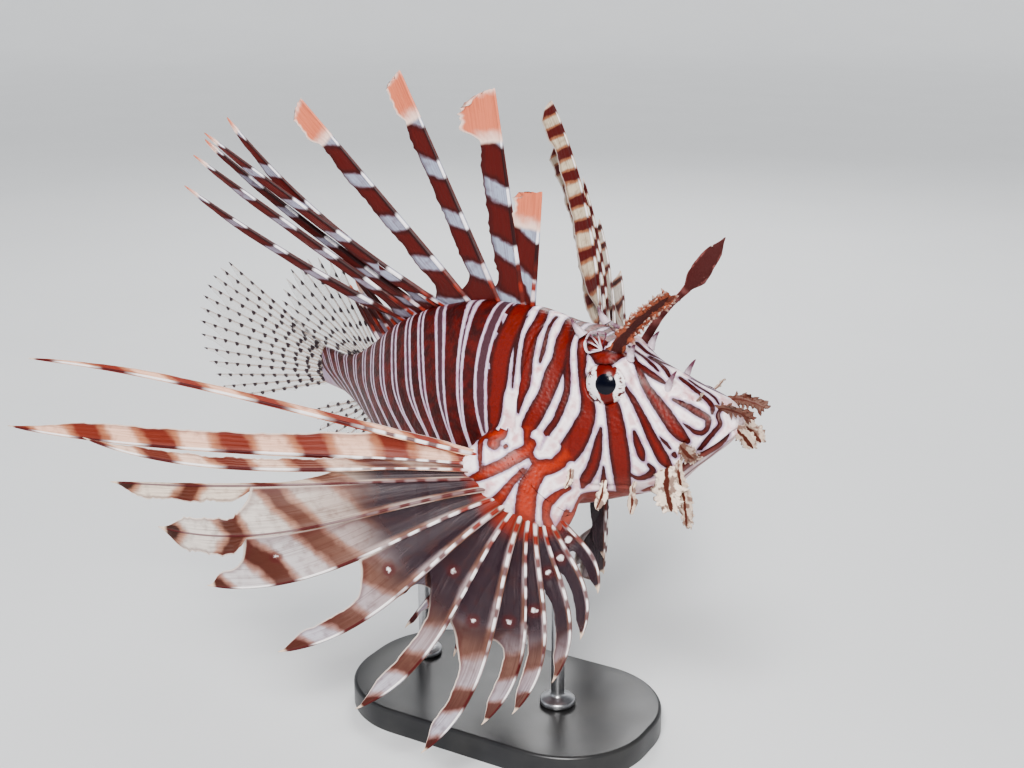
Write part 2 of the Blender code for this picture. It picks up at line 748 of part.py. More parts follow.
# Horns of the head: base, tip, radius
HORNS = {
    "nose_horn": ((70.5, 6.2, 146.5), (72.5, 7.6, 156.5), 1.7),
    "brow_horn": ((56, 8.5, 158), (58.5, 10, 164.5), 1.6),
    "nape_horn": ((38, 9.5, 164.5), (33.5, 10.5, 170.5), 1.9),
    "temple_horn": ((44, 11.5, 160), (40, 13.5, 165.5), 1.6),
    "cheek_horn": ((35, 18.5, 125), (30, 22, 123), 1.5),
}


def make_head(fish, cutters):
    """The head and its lower jaw, parted along the mouth, with lips, horns and fronds."""
    head = loft("head", head_rings(), fish)
    lips = scratch("lips")
    lip("upper_lip", LIP_RISE, lips)
    lip("lower_lip", -LIP_RISE, lips)
    fuse(head, lips)
    jaw = head.copy()
    jaw.data = head.data.copy()
    jaw.name = "lower_jaw"
    fish.objects.link(jaw)
    carve(jaw, [jaw_block("jaw_block", 0.0, -4.5, cutters)], "INTERSECT")
    carve(head, [jaw_block("jaw_gap", 0.3, -4.5, cutters)])
    extras = scratch("head_extras")
    for side, tag in ((-1, "right"), (1, "left")):
        lid(f"lid_{tag}", side, extras)
        for name, (path, widths, thickness, across, frill) in FRONDS.items():
            line = [mirrored(p, side) for p in path]
            if side > 0 and name in FOLDED_FRONDS:
                fold = Matrix.Rotation(math.radians(FOLDED_FRONDS[name]), 3, "Y")
                line = [Vector(line[0]) + fold @ (Vector(p) - Vector(line[0])) for p in line]
            blade(f"{name}_{tag}", line, widths, thickness, mirrored(across, side), extras, 7, frill)
        for name, (base, tip, radius) in HORNS.items():
            cone(f"{name}_{tag}", mirrored(base, side), mirrored(tip, side), radius, extras)
    fuse(head, extras)
    room = [eyeball(f"socket_{tag}", side, 0.3, cutters) for side, tag in ((-1, "right"), (1, "left"))]
    carve(head, [*room, jaw_block("jaw_room", 0.3, -1.6, cutters)])
    return head, jaw


# Tentacles over the eyes, each as it stands: path, half widths, direction of the width, frill
TENTACLES = {
    "tentacle_right": (
        ((49, -9.5, 156), (55.4, -12, 166.5), (61.9, -14, 174.2), (67, -16, 181.2), (72, -17.5, 188)),
        (2.6, 4.0, 3.6, 3.0, 2.0, 0.5), (0.7, 0.7, -0.3), 0.14,
    ),
    "tentacle_left": (
        ((51.5, 9, 157), (59.6, 12, 171.8), (65.4, 14, 178.3), (71.2, 15, 186.4), (79.5, 17, 199.5)),
        (2.0, 1.5, 1.4, 1.8, 4.2, 3.4, 0.4), (0.8, 0.3, -0.5), 0.0,
    ),
}


def rounded_plate(name, size, corner, collection):
    """A flat plate with round corners, from a filled outline."""
    curve = bpy.data.curves.new(name, "CURVE")
    curve.dimensions = "2D"
    curve.fill_mode = "BOTH"
    curve.extrude = size[2] / 2 * MM
    outline = []
    for quarter in range(4):
        sx, sy = ((1, 1), (-1, 1), (-1, -1), (1, -1))[quarter]
        for step in range(7):
            a = math.radians(90 * quarter + 15 * step)
            outline.append((sx * (size[0] / 2 - corner) + corner * math.cos(a),
                            sy * (size[1] / 2 - corner) + corner * math.sin(a)))
    spline = curve.splines.new("POLY")
    spline.points.add(len(outline) - 1)
    for point, (x, y) in zip(spline.points, outline):
        point.co = (x * MM, y * MM, 0, 1)
    spline.use_cyclic_u = True
    plate = bpy.data.objects.new(name, curve)
    plate.location.z = size[2] / 2 * MM
    collection.objects.link(plate)
    bpy.context.view_layer.update()
    graph = bpy.context.evaluated_depsgraph_get()
    mesh = bpy.data.meshes.new_from_object(plate.evaluated_get(graph))
    mesh.transform(plate.matrix_world)
    work = bmesh.new()
    work.from_mesh(mesh)
    bmesh.ops.remove_doubles(work, verts=work.verts, dist=0.01 * MM)
    work.to_mesh(mesh)
    work.free()
    bpy.data.objects.remove(plate)
    solid = bpy.data.objects.new(name, mesh)
    collection.objects.link(solid)
    return solid


def turned_rod(name, place, top, collection):
    """A rod with a flange at its foot, turned from a profile."""
    base = STAND_SIZE[2] + GAP / MM
    profile = [(0, top), (ROD_RADIUS, top), (ROD_RADIUS, base + ROD_FOOT_HEIGHT + 1.2),
               (ROD_RADIUS + 1.2, base + ROD_FOOT_HEIGHT), (ROD_FOOT_RADIUS, base + ROD_FOOT_HEIGHT - 0.6),
               (ROD_FOOT_RADIUS, base), (0, base)]
    mesh = bpy.data.meshes.new(name)
    line = [(i, i + 1) for i in range(len(profile) - 1)]
    mesh.from_pydata([(x * MM, 0, z * MM) for x, z in profile], line, [])
    rod = bpy.data.objects.new(name, mesh)
    rod.location = (place.x, place.y, 0)
    collection.objects.link(rod)
    turn = rod.modifiers.new("turn", "SCREW")
    turn.steps = turn.render_steps = 14
    turn.use_merge_vertices = True
    turn.merge_threshold = 0.00001
    return rod


def finish(piece, colour):
    """Smooth shading with crisp edges and the piece's own material."""
    if piece.type == "MESH":
        piece.data.materials.clear()
    base, roughness = COLOURS[colour]
    material = bpy.data.materials.new(f"{piece.name}_finish")
    material.use_nodes = True
    shader = material.node_tree.nodes["Principled BSDF"]
    shader.inputs["Base Color"].default_value = (*base, 1)
    shader.inputs["Roughness"].default_value = roughness
    shader.inputs["Metallic"].default_value = 0.0
    piece.data.materials.append(material)
    if not piece.modifiers:
        piece.data.shade_smooth()
        piece.data.set_sharp_from_angle(angle=math.radians(45))


def build():
    """Builds every piece in order from the body outwards."""
    for old in list(bpy.data.objects):
        bpy.data.objects.remove(old)
    fish = bpy.data.collections.new("red_lionfish")
    cutters = bpy.data.collections.new("cutters")
    for collection in (fish, cutters):
        bpy.context.scene.collection.children.link(collection)
    body_guard, head_guard = make_guards(cutters)
    lobe_guards = {tag: lobe(f"lobe_guard_{tag}", fan, 0.3, cutters) for tag, fan in FANS.items()}

    make_head(fish, cutters)
    first = GILL_BLEND_START
    last = TAIL_START / MM
    stations = [first + (last - first) * i / TORSO_ROWS for i in range(TORSO_ROWS + 1)]
    torso = loft("torso", [ring(plain_skin, lambda _, s=s: s) for s in stations], fish)
    lobes = scratch("lobes")
    for tag, fan in FANS.items():
        lobe(f"lobe_{tag}", fan, 0.0, lobes)
    fuse(torso, lobes)
    carve(torso, [head_guard])
    first, last = TAIL_START / MM + 0.35, BODY_LENGTH / MM
    stations = [first + (last - first) * i / TAIL_ROWS for i in range(TAIL_ROWS + 1)]
    loft("tail", [ring(plain_skin, lambda _, s=s: s) for s in stations], fish)

    for tag, fan in FANS.items():
        eyeball(f"eye_{tag}", fan.side, 0.0, fish)
        path, widths, across, frill = TENTACLES[f"tentacle_{tag}"]
        tentacle = blade(f"tentacle_{tag}", path, widths, 1.0, across, fish, 12, frill)
        carve(tentacle, [head_guard])

        rays = fan_rays(PECTORAL_RAYS, fan, PECTORAL_ROOT, PECTORAL_RIPPLE)
        pectoral = fin_sheet(f"pectoral_fin_{tag}", rays, PECTORAL_ROWS, fish)
        carve(pectoral, [lobe_guards[tag], body_guard, head_guard], solver=THIN_SOLVER)

        point, left, up = backbone_frame(PELVIC_STATION)
        middle, half_height, _, _ = section(PELVIC_STATION)
        root = point / MM + left * fan.side * PELVIC_SIDE + up * (middle - half_height + PELVIC_SINK)
        held = replace(fan, centre=tuple(root), sweeps=(PELVIC_SWEEP, PELVIC_SWEEP), lean=PELVIC_LEAN,
                       raised=0.0, cup=0.0, feather=0.0, vane_scale=1.0)
        pelvic = fin_sheet(f"pelvic_fin_{tag}", fan_rays(PELVIC_RAYS, held, PELVIC_ROOT), PELVIC_ROWS, fish)
        carve(pelvic, [body_guard], solver=THIN_SOLVER)

    spines = [
        midline_ray(station, True, length, rise, heading, vane, 1, 4.0, 5.0, paddle, SPINE_THICKNESS, bow)
        for station, length, rise, heading, vane, paddle, bow in DORSAL_SPINES
    ]
    carve(fin_sheet("dorsal_fin", spines, DORSAL_ROWS, fish), [body_guard], solver=THIN_SOLVER)
    for name, top, plan in (("soft_dorsal_fin", True, SOFT_DORSAL), ("anal_fin", False, ANAL)):
        first, last, count, rise_first, rise_last, heading, lengths = plan
        rays = []
        for i in range(count):
            t = i / (count - 1)
            length = smooth_through(np.linspace(0, 1, len(lengths)), lengths, t)
            rise = rise_first + (rise_last - rise_first) * t
            rays.append(midline_ray(first + (last - first) * t, top, length, rise, heading, 1.0, 4))
        carve(fin_sheet(name, rays, 5, fish), [body_guard], solver=THIN_SOLVER)
    rays = []
    point, left, up = backbone_frame(BODY_LENGTH / MM - 3)
    for i in range(CAUDAL_RAYS):
        t = i / (CAUDAL_RAYS - 1)
        length = smooth_through(np.linspace(0, 1, len(CAUDAL_LENGTHS)), CAUDAL_LENGTHS, t)
        start = point + up * (7.5 - 15.0 * t) * MM
        along = heading_vector(CAUDAL_HEADING, CAUDAL_RISE + CAUDAL_SPREAD * (1 - 2 * t))
        across = -heading_vector(CAUDAL_HEADING, CAUDAL_RISE + CAUDAL_SPREAD * (1 - 2 * t) + 90)
        rays.append(Ray(start, start + along * length * MM, across, Vector(), 0.8, 4))
    carve(fin_sheet("caudal_fin", rays, 5, fish), [body_guard], solver=THIN_SOLVER)

    rounded_plate("stand_base", STAND_SIZE, STAND_CORNER, fish)
    for name, station in ROD_STATIONS.items():
        point, _, _ = backbone_frame(station)
        rod = turned_rod(name, point, point.z / MM - 20.0, fish)
        carve(rod, [body_guard])

    for cutter in cutters.objects:
        cutter.hide_render = True
        cutter.display_type = "WIRE"
    for piece in fish.objects:
        colour = "skin"
        for word, choice in COLOUR_OF:
            if word in piece.name:
                colour = choice
                break
        finish(piece, colour)


build()
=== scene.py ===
"""Red lionfish display model: skin, eyes, fronds, fins and stand for the render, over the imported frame.

Lengths are millimetres in the frame's own axes until a mesh is made. The fish looks along +X with its right
side to -Y. A station is a distance from the snout along the backbone, and a turn is an angle round the body
from the belly (0) to the back (180).
"""
import logging
import math
from dataclasses import dataclass, field, replace
from enum import Enum
from functools import cached_property
from typing import Callable, Sequence

import bmesh
import bpy
import numpy as np
from mathutils import Matrix, Vector


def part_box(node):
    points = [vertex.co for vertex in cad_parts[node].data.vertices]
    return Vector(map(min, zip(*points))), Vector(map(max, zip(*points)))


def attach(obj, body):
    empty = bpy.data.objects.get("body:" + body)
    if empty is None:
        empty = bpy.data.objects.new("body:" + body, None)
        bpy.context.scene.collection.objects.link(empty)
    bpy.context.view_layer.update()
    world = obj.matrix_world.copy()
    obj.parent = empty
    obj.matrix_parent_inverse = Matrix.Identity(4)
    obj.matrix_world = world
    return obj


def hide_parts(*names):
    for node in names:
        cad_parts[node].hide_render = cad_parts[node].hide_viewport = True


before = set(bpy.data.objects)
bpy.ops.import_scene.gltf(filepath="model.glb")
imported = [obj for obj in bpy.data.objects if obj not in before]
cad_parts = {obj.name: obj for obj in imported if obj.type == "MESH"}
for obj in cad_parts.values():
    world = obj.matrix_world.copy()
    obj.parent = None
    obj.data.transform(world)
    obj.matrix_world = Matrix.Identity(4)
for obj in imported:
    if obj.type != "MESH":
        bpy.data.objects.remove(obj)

LOG = logging.getLogger("lionfish")
MM = 0.001

Array = np.ndarray
Distance = Callable[[Array], Array]


class Side(Enum):
    """A side of the fish, as the sign of its Y axis."""

    RIGHT = -1
    LEFT = 1

    @property
    def tag(self) -> str:
        """The word that this side's pieces are named with."""
        return self.name.lower()




def smooth_through(knots: Sequence[float], values: Sequence[float], where: Array) -> Array:
    """A smooth line through the knots that never overshoots them.

    Args:
        knots: Rising places where the line is known.
        values: The line's values there.
        where: The places to read it at.

    Returns:
        The line's value at each place.
    """
    knots = np.asarray(knots, float)
    values = np.asarray(values, float)
    slope = np.diff(values) / np.diff(knots)
    tangent = np.empty_like(values)
    tangent[0], tangent[-1] = slope[0], slope[-1]
    product = slope[:-1] * slope[1:]
    total = np.where(product > 0, slope[:-1] + slope[1:], 1.0)
    tangent[1:-1] = np.where(product > 0, 2 * product / total, 0.0)
    where = np.clip(np.asarray(where, float), knots[0], knots[-1])
    i = np.clip(np.searchsorted(knots, where) - 1, 0, len(knots) - 2)
    width = knots[i + 1] - knots[i]
    t = (where - knots[i]) / width
    rise = t * t * (3 - 2 * t)
    leave = t * (1 - t) ** 2 * width * tangent[i]
    arrive = t * t * (1 - t) * width * tangent[i + 1]
    return values[i] * (1 - rise) + values[i + 1] * rise + leave - arrive


def ease(x: Array) -> Array:
    """Rises smoothly from 0 to 1 as x goes from 0 to 1."""
    x = np.clip(x, 0.0, 1.0)
    return x * x * (3 - 2 * x)


def unit(vectors: Array) -> Array:
    """The vectors at length 1."""
    return vectors / np.maximum(np.linalg.norm(vectors, axis=-1, keepdims=True), 1e-9)


def heading_vector(heading: Array, rise: Array = 0.0) -> Array:
    """Unit vectors that point to the rear, swung left by the heading and lifted by the rise, in degrees."""
    h, r = np.broadcast_arrays(np.radians(heading), np.radians(rise))
    return np.stack([-np.cos(h) * np.cos(r), np.sin(h) * np.cos(r), np.sin(r)], axis=-1)


def turned(vector: Array, axis: Array, degrees: float) -> Array:
    """A vector turned about an axis."""
    spin = Matrix.Rotation(math.radians(degrees), 3, Vector(axis))
    return np.array(spin @ Vector(vector))


def curve_points(knots: Sequence[Sequence[float]], step: int = 6) -> Array:
    """A smooth curve through rows of numbers, with a number of points for each interval."""
    rows = np.asarray(knots, float)
    places = np.linspace(0, len(rows) - 1, (len(rows) - 1) * step + 1)
    return np.stack([smooth_through(range(len(rows)), rows[:, k], places) for k in range(rows.shape[1])], 1)


def path_distance(points: Array, path: Array, radii: Array) -> Array:
    """Distance from points to a tube of changing radius round a path.

    Args:
        points: Where to measure, one row each.
        path: The path's own points.
        radii: The tube's radius at each of them.

    Returns:
        The distance to the tube's wall, negative inside.
    """
    best = np.full(len(points), 1e3)
    reach = radii.max() + 9.0
    low, high = path.min(0) - reach, path.max(0) + reach
    near = np.all((points > low) & (points < high), axis=1)
    where = points[near]
    if not len(where):
        return best
    closest = np.full(len(where), 1e3)
    for a, b, ra, rb in zip(path[:-1], path[1:], radii[:-1], radii[1:]):
        run = b - a
        t = np.clip((where - a) @ run / max(run @ run, 1e-9), 0, 1)
        gap = np.linalg.norm(where - a - t[:, None] * run, axis=1)
        closest = np.minimum(closest, gap - (ra + (rb - ra) * t))
    best[near] = closest
    return best


def smooth_union(first: Array, second: Array, reach: float) -> Array:
    """Two distances joined by a fillet of a given reach."""
    h = np.clip(0.5 + 0.5 * (second - first) / reach, 0, 1)
    return second * (1 - h) + first * h - reach * h * (1 - h)


def ripple(where: Array, seed: int, waves: int = 4, first: float = 3.0) -> Array:
    """A smooth, irregular line between about -1 and 1 from a few seeded waves."""
    chance = np.random.default_rng(seed)
    total = np.zeros_like(where)
    for k in range(waves):
        total = total + np.sin(where * 2 * math.pi * first * 1.7**k + chance.uniform(0, 6.28)) * 0.7**k
    return total / 2.2


def scallops(where: Array, seed: int) -> Array:
    """A ragged edge between 0 and 1: pointed teeth one unit apart with rounded bays of uneven depth."""
    chance = np.random.default_rng(seed)
    wander = where + 0.25 * np.sin(where * 2.1 + chance.uniform(0, 6.28))
    depth = 0.7 + 0.3 * np.sin(where * 1.3 + chance.uniform(0, 6.28))
    return 1 - depth * np.abs(np.sin(math.pi * wander))




@dataclass
class Patch:
    """A piece of mesh: points in millimetres, faces, and a number at each point for each name."""

    points: Array
    faces: list
    values: dict[str, Array] = field(default_factory=dict)

    @staticmethod
    def joined(patches: Sequence["Patch"]) -> "Patch":
        """Several patches as one."""
        faces, start = [], 0
        for patch in patches:
            faces += [tuple(i + start for i in face) for face in patch.faces]
            start += len(patch.points)
        names = patches[0].values
        values = {name: np.concatenate([p.values[name] for p in patches]) for name in names}
        return Patch(np.concatenate([p.points for p in patches]), faces, values)

    def to_object(self, name: str) -> bpy.types.Object:
        """A new smooth object from this patch, its faces turned outwards."""
        mesh = bpy.data.meshes.new(name)
        mesh.from_pydata((self.points * MM).tolist(), [], self.faces)
        work = bmesh.new()
        work.from_mesh(mesh)
        bmesh.ops.recalc_face_normals(work, faces=work.faces)
        work.to_mesh(mesh)
        work.free()
        for key, numbers in self.values.items():
            layer = mesh.attributes.new(key, "FLOAT", "POINT")
            layer.data.foreach_set("value", np.asarray(numbers, np.float32))
        mesh.shade_smooth()
        piece = bpy.data.objects.new(name, mesh)
        bpy.context.scene.collection.objects.link(piece)
        LOG.info("%s: %d points, %d faces", name, len(self.points), len(self.faces))
        return piece


def grid_faces(rows: int, columns: int, closed: bool = False, start: int = 0) -> list:
    """Faces of a grid of points in rows, its last column joined to the first where it is closed."""
    wide = columns if closed else columns - 1
    j, i = np.meshgrid(np.arange(rows - 1), np.arange(wide), indexing="ij")
    a = start + j * columns + i
    b = start + j * columns + (i + 1) % columns
    return np.stack([a, b, b + columns, a + columns], -1).reshape(-1, 4).tolist()


def tube(rings: Array, values: dict[str, Array]) -> Patch:
    """A closed tube through rings of points, its ends capped from their middles.

    Args:
        rings: Points as (ring, place round it, axis).
        values: A number for each ring and place, by name.

    Returns:
        The tube as a patch.
    """
    rows, columns, _ = rings.shape
    points = np.concatenate([rings.reshape(-1, 3), rings[:1].mean(1), rings[-1:].mean(1)])
    faces = grid_faces(rows, columns, closed=True)
    for row, middle in ((0, rows * columns), (rows - 1, rows * columns + 1)):
        faces += [(row * columns + i, row * columns + (i + 1) % columns, middle) for i in range(columns)]
    flat = {
        name: np.concatenate([grid.reshape(-1), grid[:1].mean(1), grid[-1:].mean(1)])
        for name, grid in values.items()
    }
    return Patch(points, faces, flat)


def blade(path: Sequence, half_widths: Sequence[float], half_thickness: float, across: Sequence[float],
          rows: int = 26, sides: int = 12, frill: float = 0.0, seed: int = 0) -> Patch:
    """A tapered, flattened frond along a smooth path.

    Args:
        path: Points that the frond's middle runs through.
        half_widths: Its half width, evenly spaced from root to tip.
        half_thickness: Half its thickness at the root.
        across: The direction of its width.
        rows: Rings along it.
        sides: Points round each ring.
        frill: How far its edges wave in and out, as a share of the width.
        seed: Picks the waves.

    Returns:
        The frond, with "along" from 0 to 1, "edge" from 0 in its middle to 1 at its edges, and "tip" at 0.
    """
    knots = np.linspace(0, 1, len(path))
    t = np.linspace(0, 1, rows)
    line = np.stack([smooth_through(knots, [p[k] for p in path], t) for k in range(3)], 1)
    along = unit(np.gradient(line, axis=0))
    wide = unit(np.asarray(across, float) - along * (along @ np.asarray(across, float))[:, None])
    thin = np.cross(along, wide)
    half = smooth_through(np.linspace(0, 1, len(half_widths)), half_widths, t)
    tip = np.sqrt(np.clip((1.03 - t) / 0.12, 0, 1))
    angle = np.linspace(0, 2 * math.pi, sides, endpoint=False)
    rings = np.empty((rows, sides, 3))
    for i, a in enumerate(angle):
        wave = 1 + frill * ripple(t, seed + (1 if math.cos(a) > 0 else 2), 4, 2.6) * abs(math.cos(a)) ** 3
        thick = half_thickness * (1 - 0.55 * t) * tip * (1 - 0.45 * abs(math.cos(a)))
        curl = half_thickness * frill * 1.6 * math.cos(a) ** 2 * ripple(t, seed + 5, 3, 2.0)
        rings[:, i] = (line + wide * (half * wave * tip * math.cos(a))[:, None]
                       + thin * (thick * math.sin(a) + curl)[:, None])
    edge = np.broadcast_to(np.abs(np.cos(angle)), (rows, sides))
    return tube(rings, {"along": np.repeat(t[:, None], sides, 1), "edge": edge, "tip": 0.0 * edge})


def frilly(path: Sequence, half_widths: Sequence[float], half_thickness: float, across: Sequence[float],
           frill: float, seed: int, fingers: int, finger_length: float) -> Patch:
    """A frond whose edges carry small fingers of random length, with "tip" from 0 to 1 along each finger."""
    main = blade(path, half_widths, half_thickness, across, rows=34, frill=frill, seed=seed)
    patches = [main]
    chance = np.random.default_rng(seed)
    knots = np.linspace(0, 1, len(path))
    widths = np.linspace(0, 1, len(half_widths))
    for k in range(fingers):
        t = 0.22 + 0.76 * (k + chance.uniform(0.2, 0.8)) / fingers
        at, ahead = (
            np.array([float(smooth_through(knots, [p[a] for p in path], place)) for a in range(3)])
            for place in (t, min(t + 0.03, 1.03))
        )
        along = unit(ahead - at) if t < 0.97 else unit(at - np.array(path[-2], float))
        wide = unit(np.asarray(across, float) - along * (along @ np.asarray(across, float)))
        side = 1 if k % 2 else -1
        half = float(smooth_through(widths, half_widths, t))
        root = at + wide * side * half * 0.55
        out = unit(wide * side + along * chance.uniform(0.5, 1.3) + chance.normal(0, 0.22, 3))
        length = finger_length * chance.uniform(0.55, 1.1)
        bend = chance.normal(0, 0.25, 3)
        stem = [root, root + out * length * 0.5, root + unit(out + bend) * length]
        base = half_thickness * chance.uniform(0.6, 1.1)
        patches.append(blade(stem, (base, base * 1.25, base * 0.3), half_thickness * 0.6, along, 9, 7, 0.2,
                             seed + k))
        patches[-1].values["tip"] = patches[-1].values["along"]
        patches[-1].values["along"] = t + 0.0 * patches[-1].values["along"]
        patches[-1].values["edge"] = 0.6 + 0.4 * patches[-1].values["edge"]
    return Patch.joined(patches)


@dataclass(frozen=True)
class Anatomy:
    """The line and the outline of the body, which every other piece is set on.

    The profile holds the station, top, bottom, half width, and how much narrower the back is than the belly.
    The gill edge holds the station of the gill cover's rear edge at each turn. The forms are swellings and
    hollows of the head: station, turn, reach, height.
    """

    length: float = 230.0
    snout: tuple = (93.8, 0.0, 137.8)
    pitch: float = 5.6
    bend: tuple = (60.0, 203.0, 31.0)
    gill_step: tuple = (1.5, 14.0, 1.3)
    profile: tuple = (
        (0.0, 4.5, -2.5, 5.0, 0.00),
        (3.0, 8.0, -6.5, 8.5, 0.02),
        (8.0, 10.8, -10.6, 11.0, 0.05),
        (15.0, 13.6, -16.0, 12.8, 0.12),
        (23.8, 18.6, -23.5, 14.6, 0.18),
        (33.8, 24.0, -27.0, 15.6, 0.20),
        (45.8, 28.5, -30.0, 17.2, 0.20),
        (59.8, 34.5, -33.5, 19.6, 0.24),
        (77.8, 40.0, -36.0, 21.5, 0.30),
        (97.8, 41.5, -35.5, 21.5, 0.34),
        (121.8, 38.0, -32.0, 18.8, 0.34),
        (147.8, 29.5, -24.5, 14.4, 0.28),
        (169.8, 18.5, -16.5, 9.6, 0.20),
        (188.8, 11.0, -11.0, 6.4, 0.10),
        (207.8, 8.0, -8.6, 4.2, 0.00),
        (230.0, 8.4, -8.8, 2.0, 0.00),
    )
    gill_rows: tuple = ((0.0, 48.0), (35.0, 56.0), (62.0, 68.0), (86.0, 75.5), (125.0, 73.5), (180.0, 67.0))
    forms: tuple = (
        (41.0, 146.0, 8.0, 6.0),
        (53.0, 147.0, 7.0, 3.6),
        (36.0, 180.0, 7.0, -2.6),
        (17.0, 180.0, 7.0, 0.8),
        (46.0, 84.0, 9.0, 1.0),
        (26.0, 98.0, 7.0, 0.8),
        (22.0, 64.0, 5.5, 1.6),
        (64.0, 92.0, 11.0, 1.4),
    )

    @cached_property
    def line(self) -> Array:
        """Points of the backbone line, one for each millimetre from the snout."""
        steps = np.arange(int(self.length) + 12)
        runs = heading_vector(self.heading(steps + 0.5), -self.pitch)
        return np.concatenate([[self.snout], self.snout + np.cumsum(runs, axis=0)])

    def heading(self, station: Array) -> Array:
        """How far the backbone has swung left at a station, in degrees."""
        start, end, angle = self.bend
        return angle * ease((station - start) / (end - start))

    def axes(self, station: Array) -> tuple[Array, Array, Array]:
        """Point, left and up vectors of the backbone at each station."""
        station = np.asarray(station, float)
        places = np.arange(len(self.line))
        point = np.stack([np.interp(station, places, self.line[:, k]) for k in range(3)], -1)
        rear = heading_vector(self.heading(station), -self.pitch)
        left = unit(np.cross([0.0, 0.0, 1.0], -rear))
        return point, left, unit(np.cross(left, rear))

    def section(self, station: Array) -> tuple[Array, ...]:
        """Middle height, half height, half width and narrowing of the body at each station."""
        rows = np.array(self.profile)
        top, bottom, half, narrow = (smooth_through(rows[:, 0], rows[:, k], station) for k in (1, 2, 3, 4))
        return (top + bottom) / 2, (top - bottom) / 2, half, narrow

    def plain(self, station: Array, turn: Array, side: Array, grow: Array = 0.0) -> Array:
        """Points of the plain body at stations and turns, on side -1 or 1, grown outwards."""
        middle, half_height, half_width, narrow = self.section(station)
        point, left, up = self.axes(station)
        c, s = np.cos(np.radians(turn)), np.sin(np.radians(turn))
        across = side * (half_width * np.abs(s) ** 0.9 * (1 + narrow * c) + grow * s)
        lift = middle - (half_height + grow) * c
        return point + left * np.asarray(across)[..., None] + up * np.asarray(lift)[..., None]

    def gill_edge(self, turn: Array) -> Array:
        """Station of the gill cover's rear edge at each turn."""
        rows = np.array(self.gill_rows)
        return smooth_through(rows[:, 0], rows[:, 1], turn)

    def skin(self, station: Array, turn: Array, side: Array, grow: float = 0.0) -> Array:
        """Points of the skin with the head's swellings and the raised edge of the gill cover."""
        station, turn, side = np.broadcast_arrays(*(np.asarray(v, float) for v in (station, turn, side)))
        point = self.plain(station, turn, side)
        height, reach, drop = self.gill_step
        behind = station - self.gill_edge(turn)
        step = height * ease(behind / reach + 1) * (1 - ease(behind / drop)) * np.sin(np.radians(turn)) ** 2
        swell = np.zeros(station.shape)
        for form_station, form_turn, form_reach, form_height in self.forms:
            for centre_side in (-1, 1) if form_turn < 180 else (1,):
                centre = self.plain(form_station, form_turn, centre_side)
                swell += form_height * np.exp(-(np.linalg.norm(point - centre, axis=-1) / form_reach) ** 2)
        return self.plain(station, turn, side, grow + step + swell)

    def turn_at(self, station: float, height: float) -> float:
        """The turn at which the body's side has a height over the backbone line."""
        middle, half_height, _, _ = self.section(station)
        return math.degrees(math.acos(max(-1.0, min(1.0, float((middle - height) / half_height)))))


@dataclass(frozen=True)
class EyePlan:
    """Where the eyes sit in the head and how large they are."""

    station: float = 43.6
    height: float = 15.5
    aside: float = 11.2
    radius: float = 8.0
    depth: float = 6.4
    lid_radius: float = 0.8
    lid_ring: float = 8.15
    lid_out: float = 2.5

    def matrix(self, body: Anatomy, side: Side) -> tuple[Array, Array]:
        """Centre of an eye, and its axes as columns, the last of which points out of the head."""
        point, left, up = body.axes(self.station)
        sign = side.value
        centre = point + left * sign * self.aside + up * self.height
        look = unit(left * sign + up * 0.12 + np.array([0.16, 0.0, 0.0]))
        upright = unit(up - look * (up @ look))
        return centre, np.stack([np.cross(upright, look), upright, look], 1)


@dataclass(frozen=True)
class FanPlan:
    """How one pectoral fin is held: angles in degrees, lengths in millimetres.

    Its rays fan out from the centre. The sweeps turn them out from the rear, spaced evenly from the leading
    ray to the last. The lean tips the whole flat, the cup bends the ray tips, the feather turns the vanes
    about their rays, and blunt ends widen the first two rays' tips.
    """

    side: Side
    centre: tuple
    sweeps: tuple
    lean: float
    raised: float = 0.0
    cup: float = 0.0
    feather: float = 0.0
    vane_scale: float = 1.0
    blunt: float = 0.0
    lobe_centre: tuple = (0.0, 0.0, 0.0)
    lobe_radius: float = 0.0
    lobe_sweep: float = 0.0

    def axes(self, sweep: float) -> tuple[Array, Array, Array]:
        """Outward, downward and facing vectors of the fin's flat at a sweep."""
        s, lean, sign = math.radians(sweep), math.radians(self.lean), self.side.value
        outward = heading_vector(sign * sweep)
        facing = np.array([math.sin(s) * math.cos(lean), sign * math.cos(s) * math.cos(lean), math.sin(lean)])
        return outward, np.cross(outward, facing) * sign, facing


FANS = (
    FanPlan(Side.RIGHT, (25.0, -24.0, 115.0), (30.0, 30.0), lean=17.0, cup=-6.0,
            lobe_centre=(20.0, -25.5, 108.0), lobe_radius=23.0, lobe_sweep=30.0),
    FanPlan(Side.LEFT, (29.0, 26.0, 115.0),
            (66.5, 69.5, 69.0, 72.2, 73.5, 73.0, 71.0, 68.0, 64.0, 61.0, 59.0, 58.0, 59.0, 60.0),
            lean=4.0, raised=24.0, cup=-7.8, feather=-55.0, vane_scale=2.2, blunt=1.1,
            lobe_centre=(26.0, 23.0, 112.0), lobe_radius=18.0, lobe_sweep=44.0),
)


